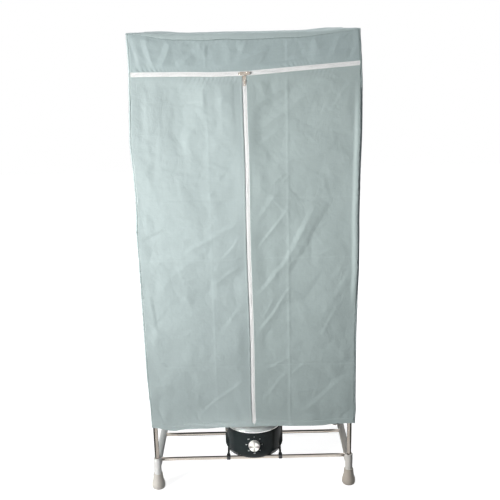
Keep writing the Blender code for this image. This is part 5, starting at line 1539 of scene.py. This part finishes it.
POST_X = 0.336
POST_Y = 0.216
TUBE = 0.008
TUBE_WALL = 0.0008
PLACES = (
    ("front_left", -1, -1), ("front_right", 1, -1), ("rear_right", 1, 1), ("rear_left", -1, 1),
)
MID_ROD, TOP_ROD, RAIL_R = 0.005, 0.006, 0.0066
# Between the two rods of each tier, and their radius
TIERS = (("mid", 0.200, MID_ROD), ("top", 0.160, TOP_ROD))
HOLE_GAP = 0.0003


def tube_for(node_name, axis, radius, finish):
    """A real tube over a node's whole length, along the axis of that index."""
    low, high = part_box(node_name)
    start, end = middle_of(node_name), middle_of(node_name)
    start[axis], end[axis] = low[axis], high[axis]
    return pipe(node_name + "_tube", start, end, radius, TUBE_WALL, finish)


def solid_rod(name, start, end, radius):
    along = Vector(end) - Vector(start)
    outline = [(0, 0), (radius, 0), (radius, along.length), (0, along.length)]
    return lathe(name, outline, BLACK_PLASTIC, start, along.normalized(), 40)


def oval_loop(width, thickness):
    """Points of a rounded oval, wider than tall."""
    angles = np.arange(64) * TURN / 64
    power = 2 / 2.6
    x = width / 2 * np.sign(np.cos(angles)) * np.abs(np.cos(angles)) ** power
    z = thickness / 2 * np.sign(np.sin(angles)) * np.abs(np.sin(angles)) ** power
    return x, z


def oval_piece(name, loops, x, z, finish):
    """A closed skin through loops of (width, thickness, y), joined end to end."""
    rings = []
    for width, thickness, y in loops:
        over, up = oval_loop(width, thickness)
        rings.append(np.stack([x + over, np.full(len(over), y), z + up], 1))
    faces = wrapped_faces(len(rings), len(rings[0]))
    made = piece_from(name, np.concatenate(rings), faces, finish)
    tidy_mesh(made.data, 38)
    return made


def oval_block(name, extra, ends, x, finish):
    """A closed oval a little larger than the side bar, between two places in y."""
    low_y, high_y = sorted(ends)
    width, thickness = BAR_WIDTH + extra, BAR_THICK + extra
    point = (0.0001, 0.0001)
    loops = [(*point, low_y), (width, thickness, low_y), (width, thickness, high_y)]
    return oval_piece(name, loops + [(*point, high_y)], x, BAR_Z, finish)


bar_low, bar_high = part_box("side_bar_left")
BAR_WIDTH = bar_high[0] - bar_low[0]
BAR_THICK = bar_high[2] - bar_low[2]
BAR_Z = middle_of("side_bar_left")[2]

# Outlines as (radius, height), each with its corners' radii
CAP_OUTLINE = fillet(
    [(0, 0.003), (0.009, 0.003), (0.009, 0), (0.0212, 0), (0.0233, 0.005), (0.0235, 0.010),
     (0.0228, 0.0185), (0.0206, 0.026), (0.0185, 0.034), (0.0171, 0.044), (0.0165, 0.0535),
     (0.0163, 0.056), (0.0133, 0.056), (0.0133, 0.010), (0, 0.010)],
    [0, 0.0005, 0.0008, 0.0016, 0.004, 0.006, 0.012, 0.02, 0.02, 0.02, 0.006, 0.0011, 0.0006,
     0.001, 0],
    5,
)
SLEEVE_OUTLINE = fillet(
    [(0.0063, 0.0103), (0.013, 0.0103), (0.013, 0.115), (0.0083, 0.115), (0.0083, 0.060),
     (0.0063, 0.060)],
    [0.0003, 0.0006, 0.0018, 0.0006, 0.0003, 0.0003],
    5,
)
COLLAR = (0.005, 0.0105, 0.023)
POCKET = (0.0006, 0.0130, 0.025)

for corner, side_x, side_y in PLACES:
    centre = (side_x * POST_X, side_y * POST_Y, 0)
    link(tube_for("post_" + corner, 2, TUBE, STEEL_UP), "frame", "stainless", "post_" + corner)
    name = "foot_cap_" + corner
    cap = lathe(name + "_bell", CAP_OUTLINE, CAP_RUBBER[side_x], centre, sides=72)
    link(cap, "frame", "cap_rubber", name)

    name = "foot_sleeve_" + corner
    finish = SLEEVE_PLASTIC[side_x]
    sleeve = lathe("sleeve", SLEEVE_OUTLINE, finish, centre, sides=56)
    blocks = []
    for extra, near, far in (COLLAR, POCKET):
        ends = (centre[1] - side_y * near, centre[1] - side_y * far)
        blocks.append(oval_block("bar_end", extra, ends, centre[0], finish))
    collar, pocket = blocks
    sleeve = combined(sleeve, [collar], "UNION", name + "_moulded")
    link(cut_away(sleeve, [pocket]), "frame", "white_plastic", name)
    for tier in ("mid", "top"):
        node_name = tier + "_connector_" + corner
        refined(node_name, JOINT_PLASTIC, "frame", "connector_plastic", 0.0006, 30)

BAR_EDGE = 0.0004
BAR_MOUTH = 0.003


def rod_holes(side, inner_x, places, level, radius):
    """Cutters through a bar's or rail's inner wall, for the rods that end in it."""
    holes = []
    for place in places:
        start, end = (side * inner_x, place, level), (side * POST_X, place, level)
        holes.append(solid_rod("hole", start, end, radius + HOLE_GAP))
    return holes


for side_name, side in SIDES:
    node_name = "side_bar_" + side_name
    low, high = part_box(node_name)
    near_end = [(BAR_MOUTH, 0), (2 * BAR_EDGE, 0), (0, BAR_EDGE)]
    loops = [(BAR_WIDTH - less, BAR_THICK - less, low[1] + along) for less, along in near_end]
    loops += [
        (BAR_WIDTH - less, BAR_THICK - less, high[1] - along) for less, along in near_end[::-1]
    ]
    bar = oval_piece(node_name + "_moulded", loops, side * POST_X, BAR_Z, BAR_PLASTIC[side])
    rails = [middle_of("blower_rail_" + place)[1] for place in ("front", "rear")]
    holes = rod_holes(side, POST_X - BAR_WIDTH, rails, BAR_Z, RAIL_R)
    link(cut_away(bar, holes), "frame", "side_bar_paint", node_name)
    for tier, spacing, rod_radius in TIERS:
        node_name = tier + "_side_rail_" + side_name
        rail = tube_for(node_name, 1, TUBE, STEEL_DEEP)
        places = (-spacing / 2, spacing / 2)
        holes = rod_holes(side, POST_X - 0.012, places, middle_of(node_name)[2], rod_radius)
        link(cut_away(rail, holes), "frame", "stainless", node_name)

for place in ("front", "rear"):
    for start_of_name, radius in (
        ("blower_rail_", RAIL_R), ("mid_rod_", MID_ROD), ("top_long_rail_", TUBE),
        ("hanging_rod_", TOP_ROD),
    ):
        name = start_of_name + place
        link(tube_for(name, 0, radius, STEEL_ACROSS), "frame", "stainless", name)

# Blower

BLOWER = (0.005, -0.093)
DRUM = 0.104
DRUM_TOP = 0.190
DRUM_FOOT = 0.0904
DRUM_SLOPE = DRUM_FOOT + 0.016
WALL = 0.0018
CORD_Z = 0.121
CLIP_HALF = 0.092
centre = (BLOWER[0], BLOWER[1], 0)

shell_outline = fillet(
    [(DRUM - 0.007 - WALL, DRUM_FOOT), (DRUM - 0.007, DRUM_FOOT), (DRUM, DRUM_SLOPE),
     (DRUM, DRUM_TOP), (DRUM - 0.006, DRUM_TOP), (DRUM - 0.006, DRUM_TOP - 0.0025),
     (DRUM - WALL, DRUM_TOP - 0.0025), (DRUM - WALL, DRUM_SLOPE)],
    [0.0004, 0.0006, 0.010, 0.0018, 0.0005, 0.0004, 0.0004, 0.006],
    6,
)
shell = lathe("blower_drum", shell_outline, ENAMEL, centre, sides=160)
cutters = []
for side, level, radius in ((-1, KNOB_Z, 0.0052), (1, CORD_Z, 0.0053)):
    ends = sorted((BLOWER[1] + side * (DRUM + 0.004), BLOWER[1] + side * 0.08))
    ends = [(BLOWER[0], y, level) for y in ends]
    cutters.append(solid_rod("wall_hole", *ends, radius))
for place in ("front", "rear"):
    rail_y = middle_of("blower_rail_" + place)[1]
    ends = [(BLOWER[0] + side * (DRUM + 0.004), rail_y, BAR_Z) for side in (-1, 1)]
    cutters.append(solid_rod("rail_notch", *ends, RAIL_R + 0.0006))
for side in (-1, 1):
    near, far = sorted(BLOWER[0] + side * reach for reach in (CLIP_HALF - 0.0043, DRUM + 0.004))
    low, high = (near, BLOWER[1] - 0.086, DRUM_FOOT - 0.004), (far, BLOWER[1] + 0.086, 0.0982)
    cutters.append(block("arm_notch", low, high))
link(cut_away(shell, cutters), "frame", "black_enamel", "blower_shell")

RIM = 0.1005
OUTLET = 0.068
DOME_FOOT = 0.1903
DOME_WALL = 0.0012
SHOULDER_RUN, SHOULDER_RISE = RIM - OUTLET - DOME_WALL, 0.0215
shoulder = [
    (RIM - SHOULDER_RUN * (1 - math.cos(a)), DOME_FOOT + 0.0045 + SHOULDER_RISE * math.sin(a))
    for a in np.linspace(0, math.pi / 2, 15)
]
under = [
    (radius - DOME_WALL, height - DOME_WALL)
    for radius, height in shoulder
    if radius > OUTLET + 0.003
]
seat = [(0, 0.2163), (0, 0.2119), (-0.0025, 0.2119), (-0.0025, 0.2107)]
seat += [(DOME_WALL, 0.2107), (DOME_WALL, 0.2151)]
dome_outline = [(RIM - DOME_WALL, DOME_FOOT), (RIM, DOME_FOOT), *shoulder]
dome_outline += [(OUTLET + out, height) for out, height in seat] + under[::-1]
dome = lathe("blower_dome_spun", dome_outline, DOME_SILVER, centre, sides=160)
link(dome, "frame", "silver_dome", "blower_dome")
inner, outer = RIM + 0.0003, RIM + 0.0021
trim_outline = [(inner, DOME_FOOT), (outer, DOME_FOOT), (outer, 0.1944), (inner, 0.1950)]
trim_outline = fillet(trim_outline, [0.0002, 0.0008, 0.0012, 0.0003], 5)
trim = lathe("dome_trim_ring", trim_outline, BRIGHT_TRIM, centre, sides=160)
link(trim, "frame", "silver_dome")

# Grille: a hub and rings, with spokes placed round the hub by nodes
GRILLE_TOP = 0.2138
GRILLE_THICK = 0.0016
HUB = 0.014
RINGS = 3
RING_WIDTH = 0.003
SLOT_WIDTH = (OUTLET - 0.0003 - HUB - RINGS * RING_WIDTH) / RINGS


def grille_ring(name, inner, outer):
    low = GRILLE_TOP - GRILLE_THICK
    if inner:
        outline = [(inner, low), (outer, low), (outer, GRILLE_TOP), (inner, GRILLE_TOP)]
        radii = [0.0005] * 4
    else:
        outline = [(0, low), (outer, low), (outer, GRILLE_TOP + 0.0006), (0, GRILLE_TOP + 0.0012)]
        radii = [0, 0.0004, 0.0008, 0]
    ring = lathe("outlet_grille_" + name, fillet(outline, radii), DOME_SILVER, centre, sides=96)
    return link(ring, "frame", "silver_dome")


def spokes_tree():
    """Rounded bars set round a circle, each pointing outwards."""
    kinds = {"Inner": ("Float", 0.013), "Outer": ("Float", 0.067), "Radius": ("Float", 0.0009)}
    kinds["Count"] = ("Int", 8)
    tree, ids = new_tree("grille_spokes", kinds, "Spokes")
    given = tree.nodes.new("NodeGroupInput").outputs

    def sum_of(operation, first, second):
        return add_node(tree, "ShaderNodeMath", {"operation": operation}, {0: first, 1: second})

    sockets = {"Vertices": given["Count"], "Radius": 0.001}
    spots = add_node(tree, "GeometryNodeMeshCircle", {"fill_type": "NONE"}, sockets)
    turn = turned_along(tree, add_node(tree, "GeometryNodeInputPosition"), pivot_axis="Z")
    run = sum_of("SUBTRACT", given["Outer"], given["Inner"])
    middle = sum_of("MULTIPLY", sum_of("ADD", given["Outer"], given["Inner"]), 0.5)
    sockets = {"Vertices": 16, "Side Segments": 1, "Radius": given["Radius"], "Depth": run}
    rod = add_node(tree, "GeometryNodeMeshCylinder", {}, sockets)
    sockets = {"Geometry": rod, "Rotation": (0, math.pi / 2, 0)}
    sockets["Translation"] = add_node(tree, "ShaderNodeCombineXYZ", {}, {"X": middle})
    lay = add_node(tree, "GeometryNodeTransform", {}, sockets)
    placed = copies(tree, spots, lay, turn)
    real = add_node(tree, "GeometryNodeRealizeInstances", {}, {"Geometry": placed})
    finish_tree(tree, real, DOME_SILVER, "Spokes")
    return tree, ids


seed_mesh = bpy.data.meshes.new("spokes_seed")
spokes = grow("outlet_grille_spokes", seed_mesh, spokes_tree(), {})
spokes.data.transform(Matrix.Translation((BLOWER[0], BLOWER[1], GRILLE_TOP - GRILLE_THICK / 2)))
tidy_mesh(spokes.data, 40)
link(spokes, "frame", "silver_dome", "outlet_grille")
grille_ring("hub", 0, HUB)
for index in range(RINGS):
    inner = HUB + SLOT_WIDTH + index * (SLOT_WIDTH + RING_WIDTH)
    grille_ring("ring_" + str(index + 1), inner, inner + RING_WIDTH)

CLIP_INNER, CLIP_OUTER = 0.0045, 0.0105
base = refined("blower_base", BLACK_PLASTIC, "frame", "black_plastic", 0.0004)
for vertex in base.data.vertices:
    for clip_x in (BLOWER[0] - CLIP_HALF, BLOWER[0] + CLIP_HALF):
        away = abs(vertex.co.x - clip_x)
        if CLIP_INNER < away < CLIP_OUTER and vertex.co.z < 0.099:
            narrower = CLIP_INNER + (away - CLIP_INNER) * 0.35
            vertex.co.x = clip_x + math.copysign(narrower, vertex.co.x - clip_x)
for node_name, finish, body, slot, bevel in (
    ("timer_switch", BLACK_PLASTIC, "frame", "black_plastic", 0.0008),
    ("cord_gland", BLACK_PLASTIC, "frame", "black_plastic", 0.0003),
    ("fan_motor", MOTOR_STEEL, "frame", "motor_steel", 0.0006),
    ("fan_impeller", FAN_PLASTIC, "fan", "fan_plastic", 0.0003),
    ("ptc_heater", CERAMIC, "frame", "heater_ceramic", 0.0003),
):
    refined(node_name, finish, body, slot, bevel)

# Knob: a skirt, a fluted side and a dished face turned with fine rings
KNOB_BACK = -0.1978


FLUTES = 36
FLUTE_DEPTH = 0.00045


def build_knob():
    outline = fillet(
        [(0, -0.012), (0.003, -0.012), (0.003, 0), (0.020, 0), (0.020, 0.0017), (0.0186, 0.0028),
         (0.0180, 0.0128), (0.0168, 0.0136), (0.0152, 0.0136), (0.0144, 0.0130),
         (0.0052, 0.0127), (0.0044, 0.0132), (0, 0.0133)],
        [0, 0.0004, 0.0003, 0.0005, 0.0006, 0.0006, 0.0006, 0.0004, 0.0003, 0.0004, 0.0003,
         0.0003, 0],
    )
    place = (KNOB_X, KNOB_BACK, KNOB_Z)
    made = lathe("timer_knob_turned", outline, KNOB_METAL, place, (0, -1, 0), 288)
    mesh = made.data
    mesh.materials.append(KNOB_SIDE)
    for vertex in mesh.vertices:
        over, deep, up = vertex.co.x - KNOB_X, KNOB_BACK - vertex.co.y, vertex.co.z - KNOB_Z
        radius = math.hypot(over, up)
        if 0.0172 < radius < 0.0188 and 0.0032 < deep < 0.0129:
            wave = 0.5 + 0.5 * math.cos(FLUTES * math.atan2(up, over))
            groove = 1 - FLUTE_DEPTH / radius * wave
            vertex.co.x = KNOB_X + over * groove
            vertex.co.z = KNOB_Z + up * groove
    for face in mesh.polygons:
        if KNOB_BACK - face.center.y < 0.0128:
            face.material_index = 1
    low = (KNOB_X - 0.0007, KNOB_BACK - 0.0140, KNOB_Z + 0.0172)
    high = (KNOB_X + 0.0007, KNOB_BACK + 0.001, KNOB_Z + 0.024)
    return cut_away(made, [block("notch", low, high)])


link(build_knob(), "timer_knob_body", "spun_aluminium", "timer_knob")


# The dial's numbers: their letter height, and the half sizes of the oval they stand on
NUMBER_SIZE = 0.0042
NUMBER_RING = (0.0285, 0.0320)
NUMBER_LIFT = 0.00010


def dial_number(text, turn):
    """A small raised number on the drum, beside the knob."""
    curve = bpy.data.curves.new("number_" + text, "FONT")
    curve.body = text
    curve.size = NUMBER_SIZE
    curve.align_x = curve.align_y = "CENTER"
    curve.offset = 0.00016
    curve.extrude = 0.00008
    curve.resolution_u = 3
    source = in_scene(bpy.data.objects.new("number_" + text, curve))
    made = evaluated(source, "dial_number_" + text)
    place_x, place_z = NUMBER_RING[0] * math.sin(turn), NUMBER_RING[1] * math.cos(turn)
    for vertex in made.data.vertices:
        across, up, lift = place_x + vertex.co.x, place_z + vertex.co.y, vertex.co.z
        angle, reach = across / DRUM, DRUM + NUMBER_LIFT + lift
        x, y = BLOWER[0] + reach * math.sin(angle), BLOWER[1] - reach * math.cos(angle)
        vertex.co = (x, y, KNOB_Z + up)
    tidy_mesh(made.data, 30)
    made.data.materials.clear()
    made.data.materials.append(MARK_PAINT)
    return link(made, "frame", "black_enamel")


MINUTES = range(0, 240, 30)
for index, minutes in enumerate(MINUTES):
    dial_number(str(minutes), index * TURN / len(MINUTES))

# Camera, floor and light

bpy.context.scene.view_settings.view_transform = "Standard"
PHOTO_SIDE = 500
FOCAL_PIXELS = 780.2
SENSOR = 36.0
CAMERA_PLACE = (0.006, -2.6433, 1.566)
CAMERA_DOWN, CAMERA_ROLL = 16.107, -1.3365
camera_data = bpy.data.cameras.new("camera")
camera_data.sensor_width = SENSOR
camera_data.lens = SENSOR * FOCAL_PIXELS / PHOTO_SIDE
camera = in_scene(bpy.data.objects.new("camera", camera_data))
tilt = Matrix.Rotation(math.radians(90 - CAMERA_DOWN), 4, "X")
roll = Matrix.Rotation(math.radians(CAMERA_ROLL), 4, "Z")
camera.matrix_world = Matrix.Translation(CAMERA_PLACE) @ tilt @ roll
bpy.context.scene.camera = camera


def grey(value):
    return (value, value, value, 1)


def mixed_by_ray(tree, rest, seen, output):
    """One shader for rays of the camera, mirrors and glass, another for the rest."""
    path = tree.nodes.new("ShaderNodeLightPath").outputs
    clear = path["Is Camera Ray"]
    for kind in ("Is Glossy Ray", "Is Transmission Ray"):
        added = {"operation": "ADD", "use_clamp": True}
        clear = add_node(tree, "ShaderNodeMath", added, {0: clear, 1: path[kind]})
    mix = add_node(tree, "ShaderNodeMixShader", {}, {0: clear, 1: rest, 2: seen})
    add_node(tree, output, {}, {"Surface": mix})


def floor_material(shade_seen, shade_rest):
    """White to the camera, whitest away from the object, whose shadow stays on it. Mirrors
    and glass see it white too, and every other ray a darker surface."""
    material = bpy.data.materials.new("floor_white")
    material.use_nodes = True
    tree = material.node_tree
    tree.nodes.clear()
    rest = add_node(tree, "ShaderNodeBsdfDiffuse", {}, {"Color": grey(shade_rest)})
    seen = add_node(tree, "ShaderNodeBsdfDiffuse", {}, {"Color": grey(shade_seen)})
    place = add_node(tree, "ShaderNodeTexCoord", output="Object")
    length = {"operation": "LENGTH"}
    away = add_node(tree, "ShaderNodeVectorMath", length, {0: place}, "Value")
    sockets = {"Value": away, "From Min": 0.3, "From Max": 1.1, "To Min": 0.88, "To Max": 1.0}
    eased = {"interpolation_type": "SMOOTHSTEP"}
    strength = add_node(tree, "ShaderNodeMapRange", eased, sockets)
    glow = add_node(tree, "ShaderNodeEmission", {}, {"Strength": strength})
    lit = add_node(tree, "ShaderNodeAddShader", {}, {0: seen, 1: glow})
    mixed_by_ray(tree, rest, lit, "ShaderNodeOutputMaterial")
    return material


def level_board(name, low, high, height, finish):
    corners = [(low[0], low[1]), (high[0], low[1]), (high[0], high[1]), (low[0], high[1])]
    board = piece_from(name, [(*corner, height) for corner in corners], [(0, 1, 2, 3)], finish)
    link(board)
    return board


level_board("floor", (-6, -6), (6, 6), 0, floor_material(0.6, 0.15))
world = bpy.data.worlds.new("studio")
bpy.context.scene.world = world
world.use_nodes = True
world.node_tree.nodes.clear()
soft, white = (
    add_node(world.node_tree, "ShaderNodeBackground", {}, {"Color": colour, "Strength": strength})
    for colour, strength in (((0.90, 0.97, 1.0, 1), 0.10), (grey(1), 1.0))
)
mixed_by_ray(world.node_tree, soft, white, "ShaderNodeOutputWorld")


def area_lamp(name, place, target, size, power, colour, spread=180):
    data = bpy.data.lights.new(name, "AREA")
    data.spread = math.radians(spread)
    data.shape = "RECTANGLE"
    data.size, data.size_y = size
    data.energy = power
    data.color = colour
    lamp = in_scene(bpy.data.objects.new(name, data))
    lamp.location = place
    lamp.rotation_euler = (Vector(target) - Vector(place)).to_track_quat("-Z", "Y").to_euler()


WARM, COOL = (1.0, 0.99, 0.98), (0.90, 0.97, 1.0)
area_lamp("key", (-1.9, -1.6, 1.14), (0.2, -0.23, 1.04), (0.45, 0.55), 21.5, WARM, 92)
area_lamp("low", (-1.0, -1.6, 0.26), (-0.05, -0.2, 0.03), (0.2, 0.06), 0.30, WARM, 18)
area_lamp("fill", (2.4, -2.6, 1.2), (0.1, 0, 0.8), (1.8, 1.8), 7, COOL)
area_lamp("behind", (0.9, 2.9, 1.5), (0, 0.2, 0.8), (1.8, 1.8), 14, (0.97, 0.98, 1.0))
area_lamp("above", (0.2, 0.5, 3.4), (0, 0.3, 1.5), (1.6, 1.2), 30, (0.95, 0.98, 1.0))

# Black boards on the floor that only mirrors see, for the dark lines along bright tubes
for name, low, high in (
    ("card_right", (0.45, -0.8), (1.5, 1.2)),
    ("card_left", (-1.5, -0.8), (-0.45, 1.2)),
    ("card_under", (-0.30, -0.05), (0.30, 0.9)),
):
    card = level_board(name, low, high, 0.003, BLACK_PLASTIC)
    card.visible_camera = card.visible_diffuse = card.visible_shadow = False
